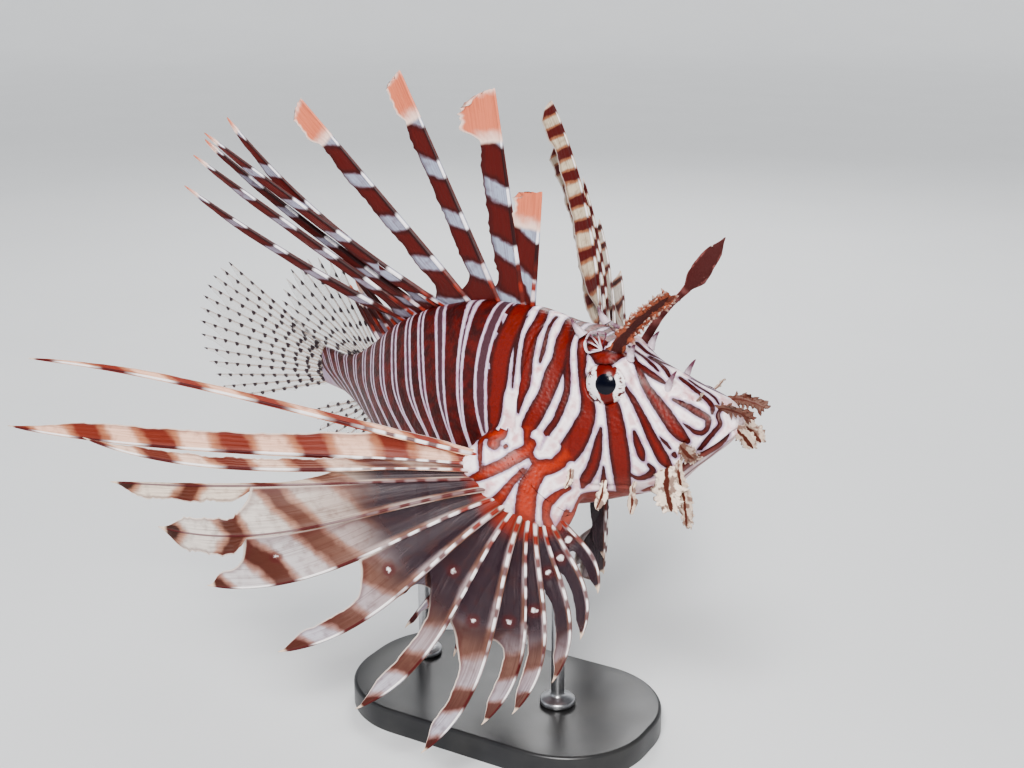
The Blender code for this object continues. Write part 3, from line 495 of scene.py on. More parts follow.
@dataclass(frozen=True)
class Markings:
    """The dark bands of the head, the pectoral bases and the flanks.

    A head band is a row of (station, turn, half width). A lobe band is a row of (outward, down, half width) in
    the flat of its fin. A flank pair is the station at mid height of two thin pale lines, half the gap between
    them, and half a line's width.
    """

    head: dict = field(default_factory=lambda: {
        "snout line": ((19.6, 169, 0.7), (15.9, 166, 0.8), (12.4, 160, 0.8), (8.9, 152, 0.8), (6.4, 140, 0.8),
                       (6.0, 126, 0.4)),
        "snout top": ((17.0, 176, 0.4), (13.8, 173, 0.5), (10.4, 171, 0.5), (7.2, 166, 0.5), (5.0, 154, 0.3)),
        "snout loop": ((19.8, 133, 0.5), (15.6, 131, 0.9), (10.7, 124, 1.2), (6.9, 112, 1.0), (7.0, 98, 0.8),
                       (8.8, 89, 0.8), (11.0, 92, 0.7), (12.9, 99, 0.6), (15.3, 106, 0.3)),
        "cheek bar": ((35.0, 156, 0.6), (31.7, 142, 1.1), (29.2, 133, 1.3), (25.8, 125, 1.7),
                      (21.8, 115, 2.0), (17.6, 99, 2.1), (13.9, 81, 1.0)),
        "brow spur": ((34.8, 151, 0.8), (29.8, 150, 1.1), (26.2, 149, 0.9), (22.8, 148, 0.3)),
        "forehead line": ((32.0, 178, 0.7), (28.5, 177, 0.8), (25.8, 172, 0.8), (22.7, 161, 0.5)),
        "crown line": ((38.0, 170, 0.9), (34.0, 171, 0.8), (30.5, 166, 0.7), (27.0, 160, 0.4)),
        "over the eye": ((37.0, 152, 0.6), (40.0, 143, 1.6), (43.0, 140, 2.6), (46.5, 141, 1.8), (48.5, 146, 0.6)),
        "crest shade": ((47.6, 143, 1.8), (47.8, 149, 3.0), (47.4, 156, 3.0), (46.0, 163, 2.2)),
        "crown bar": ((45.0, 180, 1.5), (45.2, 168, 1.4), (46.4, 158, 0.9)),
        "crown bar behind": ((48.8, 180, 1.0), (48.8, 168, 1.1), (49.2, 155, 0.8)),
        "lower cheek": ((36.4, 127, 0.5), (33.4, 118, 0.9), (31.2, 111, 1.1), (28.7, 103, 1.3), (25.2, 88, 1.7),
                        (22.3, 73, 1.9), (20.2, 60, 0.9)),
        "cheek spot": ((18.4, 70, 0.8), (18.0, 67, 0.6)),
        "cheek dash": ((23.0, 92, 0.3), (20.6, 84, 0.5), (19.4, 78, 0.3)),
        "short bar": ((32.4, 93, 0.6), (31.3, 84, 1.3), (30.3, 76, 1.5), (29.8, 70, 0.8)),
        "curl": ((36.0, 56, 0.5), (32.7, 49, 0.9), (28.9, 52, 1.1), (26.6, 60, 1.1), (27.8, 65, 0.7)),
        "chin patch": ((33.7, 25, 0.8), (29.8, 27, 1.3)),
        "eye bar": ((43.5, 120, 1.5), (40.8, 111, 2.2), (39.9, 103, 2.5), (38.7, 92, 2.8), (38.2, 80, 3.0),
                    (38.1, 70, 3.1), (38.8, 52, 2.7), (40.4, 33, 2.3), (41.5, 15, 1.4)),
        "small wedge": ((44.7, 64, 0.3), (46.2, 47, 1.1), (46.8, 38, 0.5)),
        "wedge": ((44.4, 93, 0.5), (45.7, 80, 1.5), (48.2, 66, 1.8), (52.0, 54, 1.9), (54.0, 48, 1.0)),
        "rear eye": ((53.6, 180, 1.6), (52.8, 163, 1.8), (52.3, 148, 1.9), (52.2, 137, 1.6), (52.0, 128, 1.5),
                     (50.9, 118, 1.7), (49.7, 110, 2.1), (49.3, 102, 2.5), (51.2, 91, 3.2), (54.3, 81, 3.5), (58.6, 72, 3.2),
                     (63.0, 67, 2.5)),
        "opercle line": ((58.4, 180, 1.2), (58.2, 162, 1.1), (58.0, 148, 0.8), (57.9, 134, 0.8), (57.7, 123, 1.1), (57.4, 113, 1.1),
                         (58.7, 103, 1.2), (60.8, 94, 1.1), (63.8, 87, 1.1), (66.6, 77, 0.8)),
        "gill bar": ((62.0, 178, 1.6), (61.1, 155, 1.9), (60.9, 146, 2.6), (61.2, 133, 2.5), (63.1, 120, 2.8),
                     (64.8, 108, 2.5), (67.8, 97, 2.7), (70.8, 87, 2.3), (71.5, 78, 1.4), (69.5, 69, 0.8)),
        "nape thread": ((67.0, 172, 0.5), (67.6, 150, 0.6), (67.7, 136, 0.8), (68.3, 126, 0.5)),
        "nape bar": ((72.8, 180, 1.5), (71.8, 159, 1.9), (73.4, 139, 2.3), (73.4, 125, 2.3), (73.0, 113, 2.2),
                     (73.9, 103, 1.3), (74.4, 96, 0.5)),
        "shoulder thread": ((77.2, 160, 0.3), (78.4, 138, 0.5), (78.3, 120, 0.5), (78.2, 108, 0.3)),
        "shoulder bar": ((81.0, 180, 3.0), (81.6, 153, 3.4), (83.3, 136, 3.5), (84.3, 122, 3.5),
                         (84.1, 111, 3.3), (84.6, 103, 2.9), (85.4, 92, 3.0), (86.2, 82, 2.0), (84.0, 66, 1.4)),
        "upper lip": ((3.4, 146, 0.4), (4.2, 128, 0.7), (3.2, 104, 0.7), (5.6, 82, 0.8), (8.6, 66, 0.8),
                      (10.8, 58, 0.5)),
        "jaw line": ((1.4, 60, 0.4), (5.0, 47, 0.9), (9.5, 44, 1.2), (15.0, 41, 1.6), (21.0, 40, 1.2)),
        "jaw edge": ((2.2, 40, 0.5), (6.5, 22, 0.7), (13.0, 16, 0.8), (20.0, 20, 0.4)),
        "throat": ((37.0, 16, 1.4), (42.0, 20, 3.0), (47.0, 24, 4.2), (53.0, 27, 4.6), (60.0, 30, 4.2),
                   (67.0, 26, 3.0)),
        "throat behind": ((62.0, 8, 1.6), (69.0, 14, 2.4), (76.0, 24, 2.6), (81.0, 34, 2.0)),
        "breast": ((76.0, 0, 1.4), (82.0, 12, 2.2), (87.0, 24, 2.2), (89.0, 36, 1.4)),
        "chin bars": ((24.0, 8, 0.9), (28.0, 12, 1.3), (33.0, 10, 1.0)),
    })
    lobe: dict = field(default_factory=lambda: {
        "upper band": ((0.0, -10.5, 1.6), (1.8, -7.8, 1.9), (5.6, -5.8, 2.1), (9.4, -3.3, 1.9),
                       (13.9, -1.2, 1.9), (18.0, 0.9, 1.5), (23.0, 3.0, 0.8)),
        "second band": ((2.2, -2.0, 0.5), (4.2, 0.5, 0.9), (7.1, 3.7, 1.1), (9.7, 7.1, 1.5), (12.6, 10.6, 1.8),
                        (16.2, 12.6, 1.4), (20.5, 15.4, 0.9)),
        "branch": ((11.5, 10.8, 1.0), (11.9, 16.1, 1.1), (13.4, 21.0, 0.9)),
        "broad band": ((-11.0, -3.4, 1.4), (-7.2, -2.4, 2.2), (-3.4, -1.6, 2.6), (-1.2, 1.4, 2.7),
                       (1.0, 5.4, 2.9), (1.9, 11.9, 3.0), (2.3, 17.9, 3.0), (2.5, 26.0, 2.6)),
        "hooked band": ((-14.0, 5.5, 0.6), (-11.1, 6.8, 0.9), (-7.9, 9.1, 1.3), (-5.8, 11.6, 1.5),
                        (-5.4, 15.0, 1.2), (-6.6, 19.4, 1.5), (-8.6, 24.0, 1.7)),
        "gill end": ((0.6, -7.4, 0.8), (-0.8, -5.0, 1.0), (-3.6, -1.8, 1.2)),
        "axil spot": ((13.2, -10.4, 1.8), (13.6, -10.6, 1.8)),
        "axil dot": ((8.9, -9.5, 0.7), (9.2, -9.4, 0.7)),
        "axil band": ((11.0, -18.0, 1.8), (11.6, -14.6, 2.6), (16.0, -13.6, 1.2)),
        "front branch": ((-13.0, 13.0, 0.6), (-12.2, 18.0, 1.3), (-13.0, 23.0, 1.5)),
    })
    flank: tuple = (
        (91.8, 2.2, 0.70), (101.2, 0.95, 0.60), (111.0, 1.75, 0.50), (121.5, 1.25, 0.52), (129.6, 1.4, 0.46),
        (139.3, 1.45, 0.46), (148.9, 1.4, 0.46), (158.6, 1.4, 0.46), (168.5, 1.5, 0.48), (180.5, 1.6, 0.5),
        (193.0, 1.7, 0.5), (205.0, 1.6, 0.5), (216.0, 1.5, 0.5), (227.0, 1.4, 0.5),
    )
    flank_start: float = 88.2
    band_scale: float = 1.2
    lobe_scale: float = 1.25
    sweep_turns: tuple = (0, 40, 64, 73, 84, 97, 117, 155, 180)
    sweep_front: tuple = (-12, -10, -7, -5, -2.5, -1, 0, -2, -3)
    sweep_rear: tuple = (-32, -26, -19, -15, -9, -4, 0, 7, 10)

    def flank_place(self, station: Array, turn: Array) -> Array:
        """The station at mid height of the bar line that runs through a place on the flank."""
        share = ease((station - 90) / 32)
        front = smooth_through(self.sweep_turns, self.sweep_front, turn)
        rear = smooth_through(self.sweep_turns, self.sweep_rear, turn)
        return station - front * (1 - share) - rear * share

    def flank_phase(self, place: Array) -> tuple[Array, Array, Array]:
        """Phase that is whole at each pair's middle, the pairs' spacing, and half their gap, at each place."""
        rows = np.array(self.flank)
        centres = np.concatenate([[rows[0, 0] - 10.0], rows[:, 0], [rows[-1, 0] + 10.0]])
        phase = np.interp(place, centres, np.arange(len(centres)))
        index = np.clip(np.rint(phase).astype(int), 1, len(rows)) - 1
        spacing = np.where(phase > index + 1, np.diff(centres)[index + 1], np.diff(centres)[index])
        return phase, spacing, rows[index, 1]


@dataclass(frozen=True)
class Skin:
    """The one skin of the head, jaw, flanks, tail and pectoral bases."""

    body: Anatomy
    eyes: EyePlan
    marks: Markings = field(default_factory=Markings)
    columns: int = 300
    head_end: float = 79.0
    head_row: float = 0.55
    body_row: float = 1.06
    nose_rows: int = 9
    nose_bulge: float = 1.5
    jaw_line: tuple = ((-4.0, 0.8), (0.0, -0.6), (4.5, -4.6), (10.5, -8.6))
    mouth_corner: float = 10.5
    lip_radius: float = 1.2
    lip_rise: float = 1.25
    mouth_width: float = 0.42
    lobe_thickness: float = 6.2
    folds: dict = field(default_factory=lambda: {
        "gill slit": ((68.2, 160, 0.5, 0.3), (72.6, 140, 0.5, 0.5), (74.6, 120, 0.5, 0.8), (76.2, 92, 0.5, 0.9),
                      (73.4, 74, 0.5, 0.9), (68.6, 61, 0.5, 0.9), (57.0, 35, 0.5, 0.7), (49.0, 5, 0.5, 0.4)),
        "cheek plate": ((52.0, 112, 0.8, 0.2), (55.5, 92, 0.8, 0.5), (57.5, 70, 0.8, 0.6), (55.0, 52, 0.8, 0.7),
                        (48.1, 44, 0.8, 0.6), (38.0, 40, 0.8, 0.4)),
        "upper lip fold": ((3.6, 150, 0.5, 0.2), (4.3, 128, 0.5, 0.6), (3.4, 102, 0.5, 0.7), (7.1, 74, 0.5, 0.7),
                           (10.8, 58, 0.5, 0.5), (13.0, 50, 0.5, 0.2)),
        "jaw fold": ((10.5, 56, 0.6, 0.6), (17.0, 47, 0.6, 0.7), (26.0, 37, 0.6, 0.6), (36.0, 24, 0.6, 0.3)),
        "maxilla": ((11.5, 86, 0.6, 0.2), (15.5, 78, 0.6, 0.5), (20.0, 66, 0.6, 0.5), (21.0, 54, 0.6, 0.3)),
        "brow": ((33.0, 137, 0.7, 0.3), (38.0, 150, 0.7, 0.7), (46.0, 153, 0.7, 0.7), (53.0, 143, 0.7, 0.3)),
    })
    nostrils: tuple = ((12.6, 146, 1.0, 1.5), (16.4, 141, 0.75, 1.0))

    def rows(self) -> Array:
        """Stations of the rings from the snout to the tail's end."""
        head = np.arange(0.0, self.head_end, self.head_row)
        tail = np.arange(head[-1] + self.body_row, self.body.length, self.body_row)
        return np.concatenate([head, tail, [self.body.length]])

    def chart(self) -> tuple[Array, Array, Array]:
        """Station, turn and side of every point, ring by ring, with the nose's rings first."""
        angle = 360.0 * np.arange(self.columns) / self.columns
        turn = np.where(angle <= 180, angle, 360 - angle)
        side = np.where(angle <= 180, -1.0, 1.0)
        stations = np.concatenate([np.zeros(self.nose_rows), self.rows()])
        return tuple(np.broadcast_arrays(stations[:, None], turn[None, :], side[None, :]))

    def base(self) -> tuple[Array, Array]:
        """Points of the skin before lips, lids and pectoral bases, and the way out from each."""
        station, turn, side = self.chart()
        points = self.body.skin(station, turn, side)
        mouth_end = points[self.nose_rows]
        middle = mouth_end.mean(0)
        forward = -heading_vector(0.0, -self.body.pitch)
        for row in range(self.nose_rows):
            share = (row + 0.35) / self.nose_rows
            bulge = self.nose_bulge * math.sqrt(1 - share**2)
            points[row] = middle + (mouth_end - middle) * share + forward * bulge
        down_rows = np.gradient(points, axis=0)
        wrapped = np.concatenate([points[:, -1:], points, points[:, :1]], axis=1)
        round_it = wrapped[:, 2:] - wrapped[:, :-2]
        normal = unit(np.cross(down_rows, round_it))
        middle_line = points.mean(1, keepdims=True)
        flip = np.sign((normal * (points - middle_line)).sum(-1).mean())
        normal = normal * flip
        for _ in range(3):
            padded = np.concatenate([normal[:1], normal, normal[-1:]])
            normal = padded[:-2] + padded[2:] + np.roll(normal, 1, 1) + np.roll(normal, -1, 1) + normal
            normal = unit(normal)
        normal[0] = forward
        return points, normal

    def lift(self, knots: Sequence, side: int) -> tuple[Array, Array]:
        """Points and last numbers of a curve that is given by station and turn."""
        rows = curve_points(knots)
        return self.body.skin(rows[:, 0], rows[:, 1], side), rows[:, 2:]

    def mouth(self, rise: float) -> tuple[Array, Array]:
        """The line of the mouth from corner to corner, raised, and how full the lip is along it."""
        stations, heights = zip(*self.jaw_line)
        halves = []
        for side in (-1, 1):
            half = []
            for t in np.linspace(1, 0, 16):
                station = self.mouth_corner * t + 0.15
                height = float(smooth_through(stations, heights, station)) + rise
                half.append(self.body.skin(station, self.body.turn_at(station, height), side, -0.35))
            halves.append(half)
        path = np.array(halves[0] + halves[1][::-1])
        fullness = 0.55 + 0.45 * np.sin(math.pi * (np.arange(len(path)) + 0.5) / len(path))
        return path, fullness

    def solids(self) -> list[tuple[Distance, float]]:
        """Distance to each lip, lid and pectoral base, with the reach of its fillet."""
        found = []
        for rise in (self.lip_rise, -self.lip_rise):
            path, full = self.mouth(rise)
            found.append((lambda p, path=path, full=full: path_distance(p, path, full * self.lip_radius), 0.7))
        for side in Side:
            centre, axes = self.eyes.matrix(self.body, side)

            def lid(p: Array, centre: Array = centre, axes: Array = axes) -> Array:
                """Distance to the rim of an orbit."""
                own = (p - centre) @ axes
                ring = np.hypot(np.hypot(own[:, 0], own[:, 1]) - self.eyes.lid_ring, own[:, 2] - self.eyes.lid_out)
                return ring - self.eyes.lid_radius

            found.append((lid, 2.0))
        for fan in FANS:
            axes = np.stack(fan.axes(fan.lobe_sweep), 1)
            size = np.array([fan.lobe_radius, fan.lobe_radius, self.lobe_thickness])

            def dome(p: Array, fan: FanPlan = fan, axes: Array = axes, size: Array = size) -> Array:
                """Distance to the fleshy base of a pectoral fin."""
                own = (p - np.array(fan.lobe_centre)) @ axes
                near, far = np.linalg.norm(own / size, axis=1), np.linalg.norm(own / size**2, axis=1)
                return near * (near - 1) / np.maximum(far, 1e-6)

            found.append((dome, 3.5))
        return found

    def hollows(self) -> list[Distance]:
        """Distance to what is taken out of the skin: the sockets and the line of the mouth."""
        found = []
        for side in Side:
            centre, axes = self.eyes.matrix(self.body, side)
            size = np.array([self.eyes.radius, self.eyes.radius, self.eyes.depth]) + 0.12

            def socket(p: Array, centre: Array = centre, axes: Array = axes, size: Array = size) -> Array:
                """Distance to the eyeball."""
                own = (p - centre) @ axes
                near, far = np.linalg.norm(own / size, axis=1), np.linalg.norm(own / size**2, axis=1)
                return near * (near - 1) / np.maximum(far, 1e-6)

            found.append(socket)
        path, full = self.mouth(0.0)
        outward = path + unit(path - path.mean(0)) * 0.9
        for line in (path, outward):
            found.append(lambda p, line=line: path_distance(p, line, np.full(len(line), self.mouth_width)))
        return found

    def march(self, points: Array, normal: Array) -> Array:
        """How far each point moves along its way out to reach the outermost skin there.

        Args:
            points: Points of the base skin.
            normal: The way out from each.

        Returns:
            The distance to move, which is negative in a hollow.
        """
        solids, hollows = self.solids(), self.hollows()
        near = np.zeros(len(points), bool)
        for distance in [s for s, _ in solids] + hollows:
            near |= distance(points) < 8.0
        where, way = points[near], normal[near]
        moved = np.zeros(len(where))
        done = np.zeros(len(where), bool)
        last = np.full(len(where), 9.0)
        step = 0.2
        for level in np.arange(13.0, -12.0, -step):
            at = where[~done] + way[~done] * level
            body = np.full(len(at), level)
            for distance, reach in solids:
                body = smooth_union(body, distance(at), reach)
            for distance in hollows:
                body = np.maximum(body, -distance(at))
            inside = body < 0
            hit = np.flatnonzero(~done)[inside]
            share = body[inside] / np.minimum(body[inside] - last[~done][inside], -1e-6)
            moved[hit] = level + step * np.clip(share, 0, 1)
            last[~done] = body
            done[hit] = True
        moved[~done] = -4.0
        result = np.zeros(len(points))
        result[near] = moved
        return result

    def fold_depth(self, points: Array) -> Array:
        """How deep the folds and nostrils are at each point."""
        depth = np.zeros(len(points))
        for knots in self.folds.values():
            for side in (-1, 1):
                path, rest = self.lift(knots, side)
                gap = path_distance(points, path, np.zeros(len(path)))
                nearest = np.full(len(points), rest[:, 1].mean())
                close = gap < 4.0
                away = np.linalg.norm(points[close, None] - path[None], axis=2)
                nearest[close] = rest[away.argmin(1), 1]
                depth += nearest * np.exp(-(gap / rest[0, 0]) ** 2)
        for station, turn, radius, deep in self.nostrils:
            for side in (-1, 1):
                gap = np.linalg.norm(points - self.body.skin(station, turn, side), axis=1)
                depth += deep * np.exp(-(gap / radius) ** 4) - 0.45 * np.exp(-((gap - radius * 1.7) / 0.5) ** 2)
        return depth

    def ink(self, base: Array, final: Array) -> tuple[Array, Array]:
        """Distance into the pale ground from the nearest dark band, and where the pectoral bases are.

        Args:
            base: Points of the base skin.
            final: The same points where they end up.

        Returns:
            The distance, negative in a band, and a share that is 1 on a pectoral base.
        """
        head = np.full(len(base), 30.0)
        for knots in self.marks.head.values():
            for side in (-1, 1):
                path, rest = self.lift(knots, side)
                head = np.minimum(head, path_distance(base, path, rest[:, 0] * self.marks.band_scale))
        lobe = np.full(len(base), 30.0)
        share = np.zeros(len(base))
        for fan in FANS:
            outward, down, facing = fan.axes(fan.lobe_sweep)
            own = final - np.array(fan.centre)
            flat = np.stack([own @ outward, own @ down, np.zeros(len(own))], 1)
            centre = np.array(fan.lobe_centre) - np.array(fan.centre)
            reach = np.hypot(flat[:, 0] - centre @ outward, flat[:, 1] - centre @ down) / fan.lobe_radius
            same_side = own @ facing > -9.0
            here = (1 - ease((reach - 0.93) / 0.12)) * same_side
            for knots in self.marks.lobe.values():
                rows = curve_points(knots)
                path = rows * [1, 1, 0]
                away = path_distance(flat, path, rows[:, 2] * self.marks.lobe_scale)
                lobe = np.where(same_side, np.minimum(lobe, away), lobe)
            share = np.maximum(share, here)
        return np.where(share > 0.5, np.minimum(lobe, head + 1.2 * share), np.minimum(head, lobe + 30 * (1 - share))), share

    def build(self) -> bpy.types.Object:
        """Makes the skin with the numbers that its finish reads."""
        station, turn, side = self.chart()
        base, normal = self.base()
        rows, columns = station.shape
        flat, way = base.reshape(-1, 3), normal.reshape(-1, 3)
        moved = self.march(flat, way)
        final = flat + way * moved[:, None]
        ink, share = self.ink(flat, final)
        final -= way * (self.fold_depth(flat) * (np.abs(moved) < 3.0) * (1 - share))[:, None]
        place = self.marks.flank_place(station, turn).reshape(-1)
        phase, spacing, gap = self.marks.flank_phase(place)
        zone = (place > self.marks.flank_start) * (1 - share)
        lowest = 1 - ease((turn.reshape(-1) - 25) / 35)
        gap = gap * (0.35 + 0.65 * ease((turn.reshape(-1) - 72) / 30))
        values = {"ink": ink, "phase": phase, "spacing": spacing, "gap": gap, "flank": zone, "base": share,
                  "belly": lowest, "station": station.reshape(-1), "turn": turn.reshape(-1)}
        points = np.concatenate([final, final[:columns].mean(0)[None], final[-columns:].mean(0)[None]])
        faces = grid_faces(rows, columns, closed=True)
        for row, middle in ((0, rows * columns), (rows - 1, rows * columns + 1)):
            faces += [(row * columns + i, row * columns + (i + 1) % columns, middle) for i in range(columns)]
        values = {k: np.concatenate([v, [v[:columns].mean()], [v[-columns:].mean()]]) for k, v in values.items()}
        piece = Patch(points, faces, values).to_object("skin")
        return piece


@dataclass(frozen=True)
class Ray:
    """One spine or ray of a fin: where it runs, how wide its vane is and how far its web reaches.

    The notch counts the rows that the web to the next ray takes up. The other width is that of a second vane
    on the far side of the shaft. A late bow is greatest two thirds of the way out. The round tip is how far
    the vane's corner is cut back at the ray's end, in millimetres.
    """

    start: Array
    tip: Array
    across: Array
    bow: Array
    vane: float
    notch: float
    rows: int
    paddle: float = 0.0
    paddle_share: float = 0.22
    thickness: float = 1.5
    collar: float = 0.0
    vane_across: Array = None
    other: float = 0.0
    late: bool = False
    tip_length: float = 3.0
    taper: float = 0.045
    round_tip: float = 0.0

    def place(self, s: Array) -> Array:
        """How far along the ray a share of the rows lies; a collar sets the first row at its own height."""
        if not self.collar:
            return s
        first = self.collar / np.linalg.norm(self.tip - self.start)
        edge = 1 / self.rows
        return np.where(s < edge, first * s / edge, first + (1 - first) * (s - edge) / (1 - edge))

    def middle(self, t: Array) -> Array:
        """Points of the ray's own line, from root to tip."""
        t = np.asarray(t, float)[..., None]
        bend = 6.75 * t * t * (1 - t) if self.late else 4 * t * (1 - t)
        return self.start + (self.tip - self.start) * t + self.bow * bend

    def free_width(self, s: Array, width: float, notch: float) -> Array:
        """Width of a vane where no web joins it to a neighbour.

        Args:
            s: Shares of the rows.
            width: The vane's own width.
            notch: The rows that the web takes up.

        Returns:
            The width at each share.
        """
        q = (s * self.rows - notch) / (self.rows - notch)
        fade = 1.0 if self.paddle > 1 else ease((1.02 - q) / 0.3)
        slim = 0.12 if self.paddle > 1 else 0.3
        body = width * ease(q / 0.25 + 0.35) * (1.12 - slim * np.clip(q, 0, 1)) * fade
        return body + self.paddle * ease((q - 1 + self.paddle_share) / 0.09) + 0.4


@dataclass(frozen=True)
class FinStyle:
    """How the render builds a fin's rays and vanes."""

    steps: int = 84
    vane_columns: int = 9
    shaft: float = 0.62
    tip_shaft: float = 0.26
    film: float = 0.12
    lead: float = 0.9
    ragged: float = 0.12
    root_ragged: float = 1.0
    torn_rays: tuple = ()
    tooth: float = 3.4
    tooth_depth: float = 0.0
    sag: float = 0.9
    wave: float = 0.8
    backward: bool = False
    notch_rows: float = 1.0
    seed: int = 1


def vane_strip(ray: Ray, out: Array, joined: Array, style: FinStyle, number: int, spot: float) -> Patch:
    """A closed strip of vane with a rounded shaft along one side.

    Args:
        ray: The ray that carries it.
        out: From the shaft to the vane's edge, for each step along the ray.
        joined: How much of it is web, for each step.
        style: How finely it is built.
        number: The ray's place in its fin, which seeds its waves.
        spot: The share of the rows at which a ringed spot lies on the web, or 0 for none.

    Returns:
        The strip, with the numbers that the finishes read.
    """
    s = np.linspace(0, 1, style.steps)
    t = ray.place(s)
    middle = ray.middle(t)
    length = float(np.linalg.norm(ray.tip - ray.start))
    along = unit(np.gradient(middle, axis=0))
    width = np.linalg.norm(out, axis=1)
    away = unit(out)
    face = unit(np.cross(along, away))
    end_taper = np.sqrt(np.clip((1.002 - s) / ray.taper, 0.0, 1.0))
    shaft = (style.shaft * (ray.thickness / 1.5) * (1 - t) + style.tip_shaft * t) * end_taper
    width = np.maximum(width * np.where(joined > 0.98, 1.0, end_taper), shaft * 1.25)
    lead = style.lead * (1 - 0.6 * t) * end_taper
    marks = [-1.0, -0.5, -0.1] + [0.0] * 5 + list((np.arange(style.vane_columns) + 1) / style.vane_columns)
    grid, thick, vane, core = [], [], [], []
    for c, mark in enumerate(marks):
        bulge = 0 * s
        round_part = 0.0
        if mark < 0:
            x = -shaft - (lead - shaft * 0.6).clip(0.05) * -mark
            h = style.film * (1 - 0.6 * -mark) + 0 * s
        elif c < 8:
            turn = (c - 5) / 2.0
            round_part = math.sqrt(max(0.0, 1 - turn * turn))
            x = shaft * turn
            h = style.film + shaft * round_part * 0.95
        else:
            x = shaft + (width - shaft) * mark
            h = style.film * np.where(joined > 0.98, 1.0, 1 - 0.55 * mark)
            span = np.clip(width / 7.0, 0, 1)
            bulge = style.sag * math.sin(math.pi * mark) * span * joined * (1 if number % 2 else -1)
            bulge = bulge + (style.wave * mark**2 * (1 - joined) * span
                             * ripple(s * length / 60, style.seed * 17 + number, 2, 1.5))
        drop = 0 * s
        if ray.round_tip and c >= 8:
            ragged = scallops(np.full(1, mark * 4.3 + number), style.seed + number)[0]
            drop = (ray.round_tip * mark**4 + 1.5 * ragged * mark**0.5) * ease((s - 0.88) / 0.12)
        grid.append(middle + away * x[:, None] + face * bulge[:, None] - along * drop[:, None])
        thick.append(np.broadcast_to(h, s.shape))
        vane.append(np.full(len(s), max(mark, 0.0)))
        core.append(np.full(len(s), round_part))
    grid, thick = np.stack(grid, 1), np.stack(thick, 1)
    columns = grid.shape[1]
    offset = face[:, None, :] * thick[:, :, None]
    points = np.concatenate([(grid + offset).reshape(-1, 3), (grid - offset).reshape(-1, 3)])
    count = len(s) * columns
    faces = grid_faces(len(s), columns)
    faces += [tuple(reversed(corner)) for corner in grid_faces(len(s), columns, start=count)]
    rim = [j * columns for j in range(len(s))]
    rim += [(len(s) - 1) * columns + c for c in range(1, columns)]
    rim += [j * columns + columns - 1 for j in range(len(s) - 2, -1, -1)]
    rim += list(range(columns - 2, 0, -1))
    for k, a in enumerate(rim):
        b = rim[(k + 1) % len(rim)]
        faces.append((a, b, b + count, a + count))

    def both(values: Array) -> Array:
        """A grid of numbers for the front and for the back."""
        flat = np.broadcast_to(values, (len(s), columns)).reshape(-1)
        return np.concatenate([flat, flat])

    centre = (middle + out * 0.5)[int(spot * (len(s) - 1))]
    from_spot = np.linalg.norm(grid - centre, axis=2) if spot else np.full(grid.shape[:2], 99.0)
    return Patch(points, faces, {
        "along": both(np.linalg.norm(grid - ray.start, axis=2)),
        "back": both(np.linalg.norm(middle - ray.tip, axis=1)[:, None] - ray.tip_length),
        "vane": both(np.stack(vane, 1)),
        "shaft": both(np.stack(core, 1)),
        "web": both(joined[:, None]),
        "width": both(width[:, None]),
        "spot": both(from_spot),
        "keel": both(np.full((1, 1), 1.0 if ray.other else 0.0)),
        "ray": both(np.full((1, 1), np.random.default_rng(style.seed * 100 + number).uniform())),
    })


def fin_patch(rays: Sequence[Ray], style: FinStyle) -> Patch:
    """One fin: a strip of vane for each ray, webbed to its neighbour near the root.

    Args:
        rays: The fin's rays in order from the leading one.
        style: How finely and how roughly they are built, and on which side of its shaft each vane lies.

    Returns:
        The fin, with "along" in millimetres from the root, "back" in millimetres from the coloured tip, "vane"
        from shaft to edge, "shaft" on the shaft, "web" where it is joined to a neighbour, "spot" as the
        distance from a ringed spot, "keel" where the shaft runs through a leaf's middle, "ray" as a number for
        each ray, and "order" from the first ray to the last.
    """
    patches = []
    side = -1 if style.backward else 1
    s = np.linspace(0, 1, style.steps)
    for i, ray in enumerate(rays):
        length = float(np.linalg.norm(ray.tip - ray.start))
        torn = style.ragged * (2.2 if i in style.torn_rays else 1.0)
        torn = torn * (style.root_ragged + (1 - style.root_ragged) * ease((s - 0.7) / 0.08))
        shred = 1 + torn * ripple(s * length / 40, style.seed * 31 + i, 5, 2.0)
        if i in style.torn_rays:
            shred = shred + style.tooth_depth * (scallops(s * length / style.tooth, style.seed * 31 + i) - 0.5)
        neighbour = i + side
        joined, reach, notch = np.zeros_like(s), np.zeros((len(s), 3)), 0.0
        if 0 <= neighbour < len(rays):
            following = rays[neighbour]
            notch = following.notch if style.backward else ray.notch
            fall = np.clip((s * ray.rows - notch) / style.notch_rows, 0, 1)
            joined = np.where(s <= notch / ray.rows, 1.0, (1 - fall) ** 2)
            reach = following.middle(following.place(s)) - ray.middle(ray.place(s))
        free = (ray.free_width(s, ray.vane, notch) * shred)[:, None] * ray.vane_across * side
        out = reach * joined[:, None] + free * (1 - joined)[:, None]
        spot = (notch - 0.25) / ray.rows if notch > 2 else 0.0
        strips = [vane_strip(ray, out, joined, style, i, spot)]
        if ray.other:
            start = rays[i - side].notch if not style.backward else ray.notch
            width = ray.free_width(s, ray.other, start) * shred * ease((s * ray.rows - start + 1.2) / 1.2)
            second = replace(style, shaft=style.shaft * 0.8, tip_shaft=style.tip_shaft * 0.8)
            strips.append(vane_strip(ray, (width + 0.05)[:, None] * ray.vane_across * -side, 0 * s, second, i, 0.0))
        for strip in strips:
            strip.values["order"] = np.full(len(strip.points), i / (len(rays) - 1))
        patches += strips
    return Patch.joined(patches)


